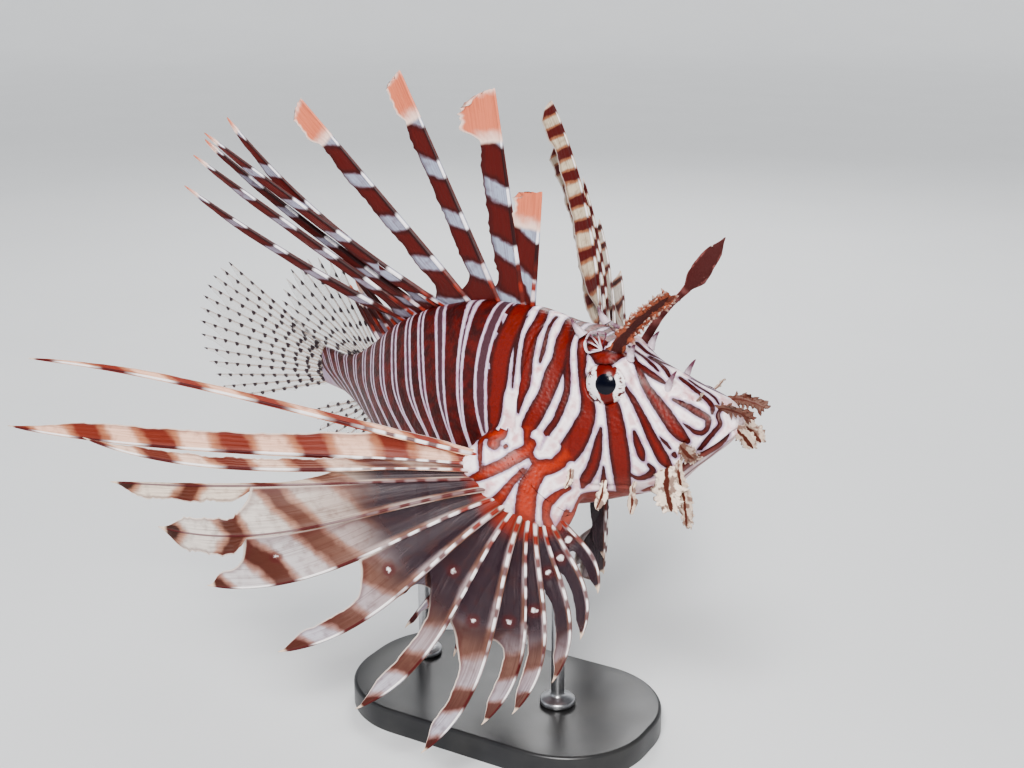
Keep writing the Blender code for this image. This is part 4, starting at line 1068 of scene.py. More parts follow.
@dataclass(frozen=True)
class PairedFins:
    """The pectoral fans and the pelvic fins.

    Each ray of a table is its reach, angle at the root, angle at the tip, bow towards the next ray, width of
    the free vane, how many rows of its web reach the next ray, and the width of a second vane. The left fin is
    seen from its other side, where its vanes lie the other way with widths and bows of their own.
    """

    body: Anatomy
    pectoral_rows: int = 8
    pectoral_root: float = 13.0
    ripple: float = 1.2
    pectoral: tuple = (
        (192.0, -22.0, -12.5, -3.0, 1.9, 2, 0.0),
        (198.0, -11.0, -4.7, 2.6, 6.6, 2, 0.0),
        (166.0, -1.0, -4.2, 6.2, 3.4, 3, 0.0),
        (156.0, 10.0, 1.6, 1.6, 0.6, 5, 5.2),
        (138.0, 24.0, 8.5, 7.0, 6.2, 6, 6.4),
        (126.0, 40.0, 19.5, 7.5, 6.4, 4, 0.0),
        (113.0, 54.0, 35.5, 7.0, 6.6, 3, 0.0),
        (108.0, 67.0, 53.6, 7.5, 6.6, 4, 0.0),
        (110.0, 79.0, 68.7, 8.5, 6.4, 4, 0.0),
        (94.0, 90.0, 79.0, 8.6, 5.8, 4, 0.0),
        (88.0, 99.0, 85.6, 8.6, 5.4, 3, 0.0),
        (77.0, 107.0, 95.7, 7.8, 5.0, 3, 0.0),
        (63.0, 113.5, 106.4, 6.2, 4.4, 3, 0.0),
        (50.0, 119.5, 119.0, 4.6, 3.6, 0, 0.0),
    )
    left_vanes: tuple = (3.3, 4.4, 2.4, 4.0, 8.5, 6.0, 6.0, 5.6, 5.6, 5.0, 4.6, 4.2, 3.6, 3.0)
    left_bows: tuple = (-3.0, 1.0, 5.0, 2.0, 2.5, 3.0, 2.0, 2.5, 4.0, 4.6, 4.6, 4.4, 3.4, 2.6)
    pelvic_rows: int = 7
    pelvic_root: float = 3.0
    pelvic: tuple = (
        (56.0, 44.0, 34.0, -1.0, 1.0, 5, 0.0),
        (66.0, 52.0, 43.0, -1.0, 1.0, 5, 0.0),
        (72.0, 60.0, 52.0, -1.0, 1.0, 5, 0.0),
        (74.0, 68.0, 61.0, -1.5, 1.0, 5, 0.0),
        (70.0, 76.0, 70.0, -1.5, 1.0, 4, 0.0),
        (46.0, 84.0, 79.0, -1.0, 0.4, 0, 0.0),
    )
    pelvic_station: float = 86.0
    pelvic_side: float = 8.0
    pelvic_sink: float = 3.0
    pelvic_sweep: float = 14.0
    pelvic_lean: float = 8.0

    @staticmethod
    def rays(table: Sequence, fan: FanPlan, root: float, rows: int, ripple_height: float = 0.0) -> list[Ray]:
        """Rays that open like a fan from its centre.

        Args:
            table: A row of numbers for each ray.
            fan: How the fin is held.
            root: How far from the centre the rays start.
            rows: The rows that a web is counted in.
            ripple_height: How far neighbouring rays stand apart, 100 mm out.

        Returns:
            The rays, the leading one first.
        """
        rays = []
        knots = np.linspace(0, 1, len(fan.sweeps))
        centre = np.array(fan.centre)
        for i, (reach, root_angle, tip_angle, bow, vane, notch, other) in enumerate(table):
            outward, down, facing = fan.axes(float(smooth_through(knots, fan.sweeps, i / (len(table) - 1))))

            def at(radius: float, angle: float) -> Array:
                """A point of the fin's flat, cupped and rippled."""
                a = math.radians(angle - fan.raised)
                dip = fan.cup * (radius / 100.0) ** 2 + ripple_height * (-1) ** i * radius / 100.0
                return centre + (outward * math.cos(a) + down * math.sin(a)) * radius + facing * dip

            start, tip = at(root, root_angle), at(reach, tip_angle)
            along = unit(tip - start)
            across = at(reach, tip_angle + 2.0) - tip
            across = unit(across - along * (along @ across))
            bulge = facing * -fan.cup * (reach / 100.0) ** 2 / 4
            rays.append(Ray(start, tip, across, across * bow + bulge, vane * fan.vane_scale, notch, rows,
                            vane_across=turned(across, along, -fan.side.value * fan.feather), other=other,
                            late=fan.side is Side.RIGHT, paddle=fan.blunt if i < 2 else 0.0))
        return rays

    def pelvic_plan(self, fan: FanPlan) -> FanPlan:
        """How the pelvic fin on a pectoral fin's side is held."""
        point, left, up = self.body.axes(self.pelvic_station)
        middle, half_height, _, _ = self.body.section(self.pelvic_station)
        root = point + left * fan.side.value * self.pelvic_side + up * (middle - half_height + self.pelvic_sink)
        return FanPlan(fan.side, tuple(root), (self.pelvic_sweep, self.pelvic_sweep), self.pelvic_lean)

    def build(self) -> list[tuple[bpy.types.Object, str]]:
        """Makes the four fins, each with the node it replaces."""
        made = []
        for fan in FANS:
            tag = fan.side.tag
            table = self.pectoral
            if fan.side is Side.LEFT:
                table = [(*row[:3], bow, vane, row[5], 0.0)
                         for row, bow, vane in zip(table, self.left_bows, self.left_vanes)]
            rays = self.rays(table, fan, self.pectoral_root, self.pectoral_rows, self.ripple)
            style = FinStyle(steps=120, vane_columns=10, shaft=0.85, tip_shaft=0.3, sag=1.1, wave=0.9,
                             ragged=0.05, torn_rays=(2, 3, 4), tooth_depth=0.12, backward=fan.side is Side.RIGHT, notch_rows=1.5,
                             seed=3 if fan.side is Side.RIGHT else 5)
            made.append((fin_patch(rays, style).to_object(f"pectoral_{tag}"), f"pectoral_fin_{tag}"))
            rays = self.rays(self.pelvic, self.pelvic_plan(fan), self.pelvic_root, self.pelvic_rows)
            style = FinStyle(steps=64, vane_columns=8, shaft=0.6, sag=0.8, wave=0.5, ragged=0.3, seed=8)
            made.append((fin_patch(rays, style).to_object(f"pelvic_{tag}"), f"pelvic_fin_{tag}"))
        return made


@dataclass(frozen=True)
class MidlineFins:
    """The dorsal spines and the soft fins of the midline and tail.

    A spine is the station of its root, length, rise above the rear, heading, vane width, paddle width and bow.
    A soft fin is its first and last root station, count of rays, first and last rise, heading, and lengths.
    """

    body: Anatomy
    rows: int = 8
    spines: tuple = (
        (78.3, 42.4, 94.5, 0.0, 8.8, 1.6, 0.0),
        (82.3, 78.6, 81.0, 0.0, 8.8, 6.6, 0.0),
        (93.3, 92.7, 62.7, 0.0, 6.4, 1.9, 0.0),
        (107.8, 101.0, 46.0, -7.0, 5.8, 2.0, 0.0),
        (119.3, 114.0, 36.5, -10.7, 3.6, 0.8, 6.0),
        (124.3, 114.0, 34.0, -15.5, 3.0, 0.4, 0.0),
        (131.8, 114.0, 33.0, -9.5, 2.8, 0.8, 1.5),
        (138.8, 108.0, 34.0, -18.5, 2.6, 0.3, 0.0),
        (145.8, 106.0, 28.0, -15.0, 2.6, 0.3, 2.0),
        (152.8, 34.0, 42.0, 4.0, 2.0, 0.2, 0.0),
        (157.8, 27.0, 44.0, 8.0, 2.0, 0.2, 0.0),
        (162.8, 23.0, 46.0, 10.0, 2.0, 0.2, 0.0),
        (167.8, 27.0, 50.0, 12.0, 2.0, 0.2, 0.0),
    )
    soft_dorsal: tuple = (173.5, 198.5, 11, 58.0, 8.0, 12.0, (36.0, 48.0, 54.0, 52.0, 42.0))
    anal: tuple = (165.5, 192.5, 9, -58.0, -20.0, 16.0, (20.0, 32.0, 42.0, 40.0, 34.0))
    caudal_rays: int = 13
    caudal_spread: float = 22.0
    caudal_heading: float = 7.0
    caudal_rise: float = 5.0
    caudal_depth: float = 15.0
    caudal_lengths: tuple = (70.0, 78.0, 84.0, 86.0, 84.0, 78.0, 70.0)
    sink: float = 4.0
    collar_height: float = 5.0

    def ray(self, station: float, top: bool, length: float, rise: float, heading: float, vane: float,
            notch: float, **rest: float) -> Ray:
        """A ray that stands on the midline of the back, or of the belly where top is false."""
        along = heading_vector(heading, rise)
        root = self.body.plain(station, 180.0 if top else 0.0, 1)
        upright = heading_vector(heading, rise + 90)
        across = -upright if top else upright
        bow = across * rest.pop("bow", 0.0)
        return Ray(root - along * self.sink, root + along * length, across, bow, vane, notch,
                   vane_across=across, **rest)

    def dorsal(self) -> list[Ray]:
        """The dorsal spines."""
        collar = self.sink + self.collar_height
        return [
            self.ray(station, True, length, rise, heading, vane, 1, rows=self.rows, paddle=paddle,
                     paddle_share=20.0 / length, thickness=2.4, collar=collar, bow=bow,
                     tip_length=min(19.0, 0.34 * length) if paddle > 1 else 7.0,
                     taper=0.004 if paddle > 1 else 0.045, round_tip=0.28 * (vane + paddle) if paddle > 1 else 0.0)
            for station, length, rise, heading, vane, paddle, bow in self.spines
        ]

    def soft(self, plan: tuple, top: bool) -> list[Ray]:
        """The rays of the soft dorsal or the anal fin."""
        first, last, count, rise_first, rise_last, heading, lengths = plan
        t = np.arange(count) / (count - 1)
        reach = smooth_through(np.linspace(0, 1, len(lengths)), lengths, t)
        return [
            self.ray(first + (last - first) * k, top, size, rise_first + (rise_last - rise_first) * k, heading,
                     1.0, 4, rows=5)
            for k, size in zip(t, reach)
        ]

    def caudal(self) -> list[Ray]:
        """The rays of the tail fin."""
        rays = []
        point, _, up = self.body.axes(self.body.length - 3)
        knots = np.linspace(0, 1, len(self.caudal_lengths))
        for t in np.arange(self.caudal_rays) / (self.caudal_rays - 1):
            length = float(smooth_through(knots, self.caudal_lengths, t))
            rise = self.caudal_rise + self.caudal_spread * (1 - 2 * t)
            start = point + up * (self.caudal_depth * (0.5 - t))
            across = -heading_vector(self.caudal_heading, rise + 90)
            tip = start + heading_vector(self.caudal_heading, rise) * length
            rays.append(Ray(start, tip, across, np.zeros(3), 0.8, 4, 5, vane_across=across))
        return rays

    def build(self) -> list[tuple[bpy.types.Object, str, bool]]:
        """Makes the fins, each with the node it replaces and whether it is clear."""
        spiny = FinStyle(steps=120, vane_columns=14, shaft=0.7, tip_shaft=0.3, ragged=0.05, root_ragged=0.25,
                         sag=0.2, wave=0.7, torn_rays=(0, 1, 2, 3), tooth=4.6, tooth_depth=0.07, seed=11)
        clear = FinStyle(steps=48, vane_columns=6, shaft=0.42, tip_shaft=0.16, film=0.09, ragged=0.5, sag=0.5,
                         wave=0.3, seed=21)
        plans = (
            ("dorsal_spines", self.dorsal(), spiny, "dorsal_fin", False),
            ("soft_dorsal", self.soft(self.soft_dorsal, True), clear, "soft_dorsal_fin", True),
            ("anal", self.soft(self.anal, False), clear, "anal_fin", True),
            ("tail_fan", self.caudal(), clear, "caudal_fin", True),
        )
        return [(fin_patch(rays, style).to_object(name), node, see) for name, rays, style, node, see in plans]


@dataclass(frozen=True)
class Eyes:
    """The eyeballs."""

    body: Anatomy
    plan: EyePlan
    rings: int = 72
    sides: int = 96
    bar_spread: float = 0.14
    pupil_shift: tuple = (-0.9, 0.5)

    def build(self) -> list[tuple[bpy.types.Object, str]]:
        """Makes both eyes, each with the node it replaces."""
        made = []
        for side in Side:
            centre, axes = self.plan.matrix(self.body, side)
            polar = np.linspace(0, math.pi, self.rings + 2)[1:-1]
            angle = np.linspace(0, 2 * math.pi, self.sides, endpoint=False)
            flat = np.sin(polar)[:, None] * self.plan.radius
            rise = np.cos(polar)[:, None] * self.plan.depth
            x, y = flat * np.cos(angle), flat * np.sin(angle)
            own = np.stack([x, y, np.broadcast_to(rise, x.shape)], -1)
            points = own @ axes.T + centre
            values = {"off": np.hypot(x, y) + np.where(own[..., 2] < 0, 9.0, 0.0),
                      "pupil": (np.hypot(x - self.pupil_shift[0] * side.value, y - self.pupil_shift[1])
                                + np.where(own[..., 2] < 0, 9.0, 0.0)),
                      "level": np.abs(x - self.pupil_shift[0] * side.value) - self.bar_spread * y,
                      "spin": np.broadcast_to(angle, x.shape)}
            made.append((tube(points, values).to_object(f"eyeball_{side.tag}"), f"eye_{side.tag}"))
        return made


@dataclass(frozen=True)
class HeadDressing:
    """The fronds, horns, crests and tentacles of the head, given for the left side where both sides have one.

    A frond is its path, half widths, half thickness, direction of width, frill, the count and length of the
    fingers on its edges, and how dark it is. A tentacle is the same without the last. A horn is its base, tip
    and radius. The crest's places are (station, turn).
    """

    body: Anatomy
    fronds: dict = field(default_factory=lambda: {
        "nostril_frond": (((86, 5.4, 143.5), (91, 6.0, 145.0), (96, 6.4, 144.5), (101, 6.8, 143.0)),
                          (1.0, 1.5, 1.5, 1.0, 0.3), 0.6, (0, 0.35, 1), 0.3, 24, 3.0, 0.92),
        "lip_flap": (((91.5, 3.0, 138), (95.6, 3.2, 136.4), (98.6, 3.4, 134.2), (101.0, 3.6, 131.4)),
                     (1.0, 2.6, 3.6, 3.3, 1.4), 0.6, (0.3, 0.2, 1), 0.4, 20, 1.8, 0.3),
        "cheek_flap": (((74, 12.5, 124.5), (74.6, 16.2, 120), (76.0, 17.4, 113.5), (77.6, 17.8, 108.4)),
                       (1.6, 3.8, 5.8, 6.0, 2.0), 0.75, (1, 0.2, 0), 0.55, 30, 2.4, 0.0),
        "cheek_flap_front": (((77, 11.5, 127), (79.2, 15.8, 121.5), (82.2, 16.8, 112), (83.4, 17.0, 103.0)),
                             (1.2, 1.4, 2.2, 3.1, 1.0), 0.7, (1, 0.2, 0), 0.36, 18, 2.2, 0.35),
        "jaw_tab_front": (((61, 11.2, 115.5), (61.4, 15.2, 113), (61.6, 15.8, 108), (61, 16, 103.4)),
                          (0.8, 1.0, 1.9, 0.7), 0.55, (1, 0, 0), 0.25, 6, 1.2, 0.3),
        "jaw_tab_rear": (((50, 14, 116), (50.5, 17, 110), (48.5, 18, 103.4)),
                         (0.8, 1.2, 2.4, 0.8), 0.55, (1, 0, 0), 0.25, 6, 1.3, 0.0),
        "gill_tab": (((38, 17.5, 120), (39, 20, 115), (37, 20.5, 110)),
                     (0.9, 1.2, 1.3, 0.5), 0.5, (1, 0, 0), 0.2, 3, 1.2, 0.0),
        "snout_tab": (((81, 7.2, 146.2), (83.0, 8.6, 148.6), (84.2, 9.4, 150.6)),
                      (0.6, 0.6, 0.5, 0.2), 0.4, (0.3, 0.2, 1), 0.2, 3, 1.0, 0.5),
        "cheek_tuft": (((77.6, 12.6, 132.4), (79.4, 13.9, 130.6), (81.6, 13.6, 128.6), (83.8, 12.4, 126.8)),
                       (0.6, 2.0, 2.7, 2.0, 0.6), 0.55, (0.62, 0.1, 0.78), 0.5, 30, 2.6, 0.6),
    })
    folded: dict = field(default_factory=lambda: {"cheek_flap": 62.0, "cheek_flap_front": 66.0})
    horns: dict = field(default_factory=lambda: {
        "nose_horn": ((69.6, 7.4, 145.0), (73.6, 8.4, 156.4), 1.9),
        "brow_horn": ((56, 8.5, 158), (58.5, 10, 164.3), 1.6),
        "nape_horn": ((38, 9.5, 164.5), (33.5, 10.5, 170.3), 1.9),
        "cheek_horn": ((35, 18.5, 125), (30, 22, 123), 1.5),
    })
    tentacles: dict = field(default_factory=lambda: {
        Side.RIGHT: (((48.6, -9.2, 156), (53.5, -11, 164.9), (58.2, -12.5, 170.6), (63.5, -13.8, 175.9),
                      (68.3, -14.8, 180), (73.4, -15.8, 184.4)), (2.6, 3.3, 2.1, 2.7, 1.6, 1.9, 0.6), 0.95,
                     (0.7, 0.5, -0.5), 0.5, 120, 3.3),
        Side.LEFT: (((51.5, 9, 157), (59.6, 12, 171.8), (65.4, 14, 178.3), (71.2, 15, 186.4), (79.3, 17, 199.2)),
                    (1.8, 1.5, 1.3, 1.2, 1.6, 3.8, 3.3, 0.4), 0.8, (0.8, 0.3, -0.5), 0.1, 5, 1.2),
    })

    crest_root: tuple = (44.8, 145.0)
    crest_rim: tuple = ((49.4, 140.0), (51.0, 147.0), (50.8, 155.0), (49.0, 162.0), (46.4, 165.0))
    crest_rise: float = 1.5
    crest_radius: float = 0.42

    def crest(self, side: Side) -> list[Patch]:
        """The bony comb behind the brow: a rim with ribs that spread from one root."""
        root = self.body.skin(*self.crest_root, side.value, 0.4)
        rim = [self.body.skin(station, turn, side.value, self.crest_rise) for station, turn in self.crest_rim]
        radius = self.crest_radius
        patches = [blade([root, *rim, root + (rim[-1] - root) * 0.3], [radius * k for k in (0.8, 1.3, 1.5, 1.3, 0.9)],
                         radius, (0, 1, 1), rows=60, sides=12, frill=0.25, seed=61)]
        for k, end in enumerate(rim[:-1]):
            top = (root + end) / 2 + (end - self.body.skin(*self.crest_rim[k], side.value)) * 0.5
            patches.append(blade([root, top, end], (radius * 0.9, radius * 0.8, radius), radius * 0.8, (0, 1, 1),
                                 rows=16, sides=9, frill=0.2, seed=62 + k))
        return patches

    def frond_patches(self, side: Side) -> list[Patch]:
        """The fronds of one side."""
        patches = []
        for k, (name, frond) in enumerate(self.fronds.items()):
            path, widths, thick, across, frill, fingers, length, tone = frond
            line = np.array(path, float) * [1, side.value, 1]
            if side is Side.LEFT and name in self.folded:
                line = np.array([line[0] + turned(p - line[0], (0, 1, 0), self.folded[name]) for p in line])
            patches.append(frilly(line, widths, thick, np.array(across) * [1, side.value, 1], frill,
                                  40 + 7 * k, fingers, length))
            patches[-1].values["tone"] = np.full(len(patches[-1].points), tone)
        return patches

    def horn_patch(self, base: Array, tip: Array, radius: float, seed: int) -> Patch:
        """A small bony horn with a curved, blunt tip."""
        rows, sides = 26, 18
        t = np.linspace(0, 1, rows)
        axis = unit(tip - base)
        wide = unit(np.cross(axis, [0.3, 0.9, 0.1]))
        thin = np.cross(axis, wide)
        bend = wide * 0.08 * np.linalg.norm(tip - base)
        line = base + (tip - base) * t[:, None] + bend * (4 * t * (1 - t))[:, None]
        size = radius * (1 - t) ** 0.75 * (1 + 0.08 * ripple(t, seed, 4, 3.0)) + 0.13
        size = size * np.sqrt(np.clip((1.02 - t) / 0.06, 0, 1))
        angle = np.linspace(0, 2 * math.pi, sides, endpoint=False)
        spin = wide[None] * np.cos(angle)[:, None] + thin[None] * np.sin(angle)[:, None] * 0.8
        rings = line[:, None] + spin[None] * size[:, None, None]
        return tube(rings, {"along": np.repeat(t[:, None], sides, 1), "edge": np.zeros((rows, sides))})

    def build(self) -> list[tuple[bpy.types.Object, tuple, str]]:
        """Makes the fronds, horns and tentacles, each with the nodes it replaces and its finish."""
        made = []
        for side in Side:
            fronds = Patch.joined(self.frond_patches(side)).to_object(f"fronds_{side.tag}")
            made.append((fronds, (), "frond"))
            flip = np.array([1, side.value, 1])
            horns = [self.horn_patch(np.array(base) * flip, np.array(tip) * flip, radius, k)
                     for k, (base, tip, radius) in enumerate(self.horns.values())]
            made.append((Patch.joined(horns).to_object(f"horns_{side.tag}"), (), "horn"))
            made.append((Patch.joined(self.crest(side)).to_object(f"crest_{side.tag}"), (), "horn"))
            path, widths, thick, across, frill, fingers, length = self.tentacles[side]
            stalk = frilly(np.array(path, float), widths, thick, across, frill, 90 + side.value, fingers, length)
            kind = "frilled" if side is Side.RIGHT else "banded"
            made.append((stalk.to_object(f"brow_tentacle_{side.tag}"), (f"tentacle_{side.tag}",), kind))
        return made


@dataclass(frozen=True)
class Stand:
    """The base and the two rods that hold the fish up."""

    body: Anatomy
    size: tuple = (128.0, 76.0, 10.0)
    corner: float = 34.0
    bevel: float = 1.4
    gap: float = 0.3
    rod_radius: float = 2.6
    foot_radius: float = 7.0
    foot_height: float = 3.0
    stations: dict = field(default_factory=lambda: {"stand_rod_front": 70.0, "stand_rod_rear": 140.0})
    sides: int = 64

    def base(self) -> bpy.types.Object:
        """The flat base with a rounded edge."""
        half = np.array(self.size[:2]) / 2
        profile = [(-self.bevel, 0.0)]
        profile += [(-self.bevel * (1 - math.sin(a)), self.size[2] - self.bevel * (1 - math.cos(a)))
                    for a in np.linspace(math.pi / 2, 0, 9)]
        profile.insert(1, (-0.3, 0.0))
        profile.insert(2, (0.0, 0.5))
        rings = []
        inner = [(-self.bevel - 6, 0.0)] + profile + [(-self.bevel - 6, self.size[2])]
        for inset, height in inner:
            ring = []
            for quarter, (sx, sy) in enumerate(((1, 1), (-1, 1), (-1, -1), (1, -1))):
                for a in np.radians(90 * quarter + np.linspace(0, 90, 25)):
                    radius = self.corner + inset
                    ring.append((sx * (half[0] - self.corner) + radius * math.cos(a),
                                 sy * (half[1] - self.corner) + radius * math.sin(a), height))
            rings.append(ring)
        rings = np.array(rings)
        flat = np.zeros(rings.shape[:2])
        piece = tube(rings, {"polish": flat}).to_object("base_plate")
        piece.data.set_sharp_from_angle(angle=math.radians(40))
        return piece

    def rod(self, node: str, station: float) -> bpy.types.Object:
        """One turned rod with a flange at its foot."""
        point = self.body.axes(station)[0]
        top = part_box(node)[1].z / MM
        foot = self.size[2] + self.gap
        profile = [(0.2, foot), (self.foot_radius - 0.4, foot), (self.foot_radius, foot + 0.4),
                   (self.foot_radius, foot + self.foot_height - 1.2),
                   (self.foot_radius - 0.5, foot + self.foot_height - 0.6),
                   (self.rod_radius + 1.2, foot + self.foot_height),
                   (self.rod_radius + 0.3, foot + self.foot_height + 0.5),
                   (self.rod_radius, foot + self.foot_height + 1.2)]
        profile += [(self.rod_radius, z) for z in np.linspace(foot + self.foot_height + 2, top - 0.1, 30)]
        profile += [(0.2, top)]
        angle = np.linspace(0, 2 * math.pi, self.sides, endpoint=False)
        rings = np.array([[(point[0] + r * math.cos(a), point[1] + r * math.sin(a), z) for a in angle]
                          for r, z in profile])
        piece = tube(rings, {"polish": np.zeros(rings.shape[:2])}).to_object(node.replace("stand_", "steel_"))
        piece.data.set_sharp_from_angle(angle=math.radians(40))
        return piece

    def build(self) -> list[tuple[bpy.types.Object, str]]:
        """Makes the base and rods, each with the node it replaces."""
        return [(self.base(), "stand_base")] + [(self.rod(n, s), n) for n, s in self.stations.items()]


Colour = tuple[float, float, float]
Input = object


class Graph:
    """Adds nodes to one node tree and links them."""

    def __init__(self, tree: bpy.types.NodeTree) -> None:
        """Keeps the tree that nodes are added to."""
        self.tree = tree

    def put(self, socket: bpy.types.NodeSocket, value: Input) -> None:
        """Links a socket to an output, or sets it to a number or colour."""
        if isinstance(value, bpy.types.NodeSocket):
            self.tree.links.new(value, socket)
        elif isinstance(value, tuple) and len(value) == 3 and socket.type == "RGBA":
            socket.default_value = (*value, 1.0)
        else:
            socket.default_value = value

    def node(self, kind: str, inputs: dict, **settings: object) -> bpy.types.Node:
        """A new node with its settings and inputs."""
        made = self.tree.nodes.new(kind)
        for name, value in settings.items():
            setattr(made, name, value)
        for name, value in inputs.items():
            self.put(made.inputs[name], value)
        return made

    def attribute(self, name: str) -> bpy.types.NodeSocket:
        """A number that the mesh holds at its points."""
        return self.node("ShaderNodeAttribute", {}, attribute_name=name, attribute_type="GEOMETRY").outputs["Fac"]

    def math(self, operation: str, *values: Input, clamp: bool = False) -> bpy.types.NodeSocket:
        """The result of one operation on up to three numbers."""
        inputs = dict(enumerate(values))
        return self.node("ShaderNodeMath", inputs, operation=operation, use_clamp=clamp).outputs[0]

    def step(self, value: Input, low: float, high: float) -> bpy.types.NodeSocket:
        """Rises smoothly from 0 to 1 as the value goes from low to high."""
        return self.node("ShaderNodeMapRange", {"Value": value, "From Min": low, "From Max": high},
                         interpolation_type="SMOOTHSTEP").outputs["Result"]

    def mix(self, share: Input, first: Input, second: Input) -> bpy.types.NodeSocket:
        """A colour between two others."""
        return self.node("ShaderNodeMix", {0: share, 6: first, 7: second}, data_type="RGBA").outputs[2]

    def between(self, share: Input, first: Input, second: Input) -> bpy.types.NodeSocket:
        """A number between two others."""
        return self.node("ShaderNodeMix", {0: share, 2: first, 3: second}, data_type="FLOAT").outputs[0]

    def place(self) -> bpy.types.NodeSocket:
        """Where a point lies on the object, in metres."""
        return self.node("ShaderNodeTexCoord", {}).outputs["Object"]

    def noise(self, grain: Input, detail: float = 3.0, where: Input = None) -> bpy.types.NodeSocket:
        """Soft noise between 0 and 1, with a number of grains in a metre."""
        spot = self.place() if where is None else where
        return self.node("ShaderNodeTexNoise", {"Vector": spot, "Scale": grain, "Detail": detail}).outputs["Fac"]

    def ramp(self, value: Input, stops: Sequence[tuple[float, Colour]]) -> bpy.types.NodeSocket:
        """A colour read from a row of places and colours."""
        made = self.node("ShaderNodeValToRGB", {"Fac": value})
        row = made.color_ramp.elements
        while len(row) < len(stops):
            row.new(1.0)
        for element, (place, colour) in zip(row, stops):
            element.position = place
            element.color = (*colour, 1.0)
        return made.outputs["Color"]

    def group(self, tree: bpy.types.NodeTree, **inputs: Input) -> bpy.types.NodeOutputs:
        """The outputs of a shared group, given its inputs by name, with _ for a space."""
        made = self.tree.nodes.new("ShaderNodeGroup")
        made.node_tree = tree
        for name, value in inputs.items():
            self.put(made.inputs[name.replace("_", " ")], value)
        return made.outputs


@dataclass
class Effects:
    """The shared node groups, each built once."""

    trees: dict = field(default_factory=dict)

    def start(self, name: str, inputs: dict[str, float], outputs: Sequence[str]) -> tuple[Graph, object, object]:
        """A new group with numbers as its inputs and outputs."""
        tree = bpy.data.node_groups.new(name, "ShaderNodeTree")
        for label, default in inputs.items():
            socket = tree.interface.new_socket(name=label, in_out="INPUT", socket_type="NodeSocketFloat")
            socket.default_value = default
        for label in outputs:
            tree.interface.new_socket(name=label, in_out="OUTPUT", socket_type="NodeSocketFloat")
        graph = Graph(tree)
        self.trees[name] = tree
        return graph, graph.node("NodeGroupInput", {}).outputs, graph.node("NodeGroupOutput", {}).inputs

    @cached_property
    def painted_edge(self) -> bpy.types.NodeTree:
        """Turns a distance in millimetres into a mask with a hand-drawn edge, and the depth inside it."""
        graph, given, wanted = self.start(
            "painted edge", {"Distance": 0.0, "Softness": 0.2, "Wobble": 0.5, "Grain": 700.0}, ("Mask", "Depth"))
        wander = graph.math("MULTIPLY", graph.math("SUBTRACT", graph.noise(given["Grain"], 4.0), 0.5),
                            given["Wobble"])
        moved = graph.math("ADD", given["Distance"], wander)
        low = graph.math("MULTIPLY", given["Softness"], -1.0)
        edge = graph.node("ShaderNodeMapRange", {"Value": moved, "From Min": low, "From Max": given["Softness"],
                                                 "To Min": 1.0, "To Max": 0.0}, interpolation_type="SMOOTHSTEP")
        graph.put(wanted["Mask"], edge.outputs["Result"])
        graph.put(wanted["Depth"], graph.math("MULTIPLY", moved, -0.5, clamp=True))
        return graph.tree

    @cached_property
    def fine_scales(self) -> bpy.types.NodeTree:
        """The height of small overlapping scales with some grain."""
        graph, given, wanted = self.start("fine scales", {"Grain": 900.0, "Roughening": 0.3}, ("Height",))
        cells = graph.node("ShaderNodeTexVoronoi", {"Vector": graph.place(), "Scale": given["Grain"]},
                           feature="SMOOTH_F1").outputs["Distance"]
        fine = graph.noise(graph.math("MULTIPLY", given["Grain"], 3.1), 3.0)
        graph.put(wanted["Height"], graph.math("SUBTRACT", graph.math("MULTIPLY", fine, given["Roughening"]),
                                               cells))
        return graph.tree

    @cached_property
    def uneven(self) -> bpy.types.NodeTree:
        """A number that wanders between two others."""
        graph, given, wanted = self.start("uneven", {"Low": 0.3, "High": 0.5, "Grain": 200.0}, ("Value",))
        graph.put(wanted["Value"], graph.between(graph.noise(given["Grain"], 5.0), given["Low"], given["High"]))
        return graph.tree

    @cached_property
    def ray_bands(self) -> bpy.types.NodeTree:
        """Bands across a ray: distance in millimetres into the pale part from a dark band's edge."""
        graph, given, wanted = self.start(
            "ray bands", {"Along": 0.0, "Period": 12.0, "Dark": 0.6, "Shift": 0.0, "Wobble": 0.2}, ("Distance",))
        wander = graph.math("MULTIPLY", graph.math("SUBTRACT", graph.noise(60.0, 3.0), 0.5), given["Wobble"])
        turn = graph.math("ADD", graph.math("DIVIDE", given["Along"], given["Period"]), given["Shift"])
        turn = graph.math("ADD", turn, wander)
        near = graph.math("PINGPONG", turn, 0.5)
        inside = graph.math("SUBTRACT", near, graph.math("MULTIPLY", given["Dark"], 0.5))
        graph.put(wanted["Distance"], graph.math("MULTIPLY", inside, given["Period"]))
        return graph.tree


class Finish:
    """A material that is made once and put on several pieces."""

    name = "finish"

    def paint(self, graph: Graph, shader: bpy.types.Node, effects: Effects) -> None:
        """Links colour, roughness and relief into the shader."""
        raise NotImplementedError

    def material(self, effects: Effects) -> bpy.types.Material:
        """The finished material."""
        made = bpy.data.materials.new(self.name)
        made.use_nodes = True
        shader = made.node_tree.nodes["Principled BSDF"]
        self.paint(Graph(made.node_tree), shader, effects)
        return made

    @staticmethod
    def relief(graph: Graph, shader: bpy.types.Node, height: Input, distance: float, strength: float) -> None:
        """Puts a height into the shader's normal."""
        bump = graph.node("ShaderNodeBump", {"Height": height, "Distance": distance, "Strength": strength})
        graph.put(shader.inputs["Normal"], bump.outputs["Normal"])


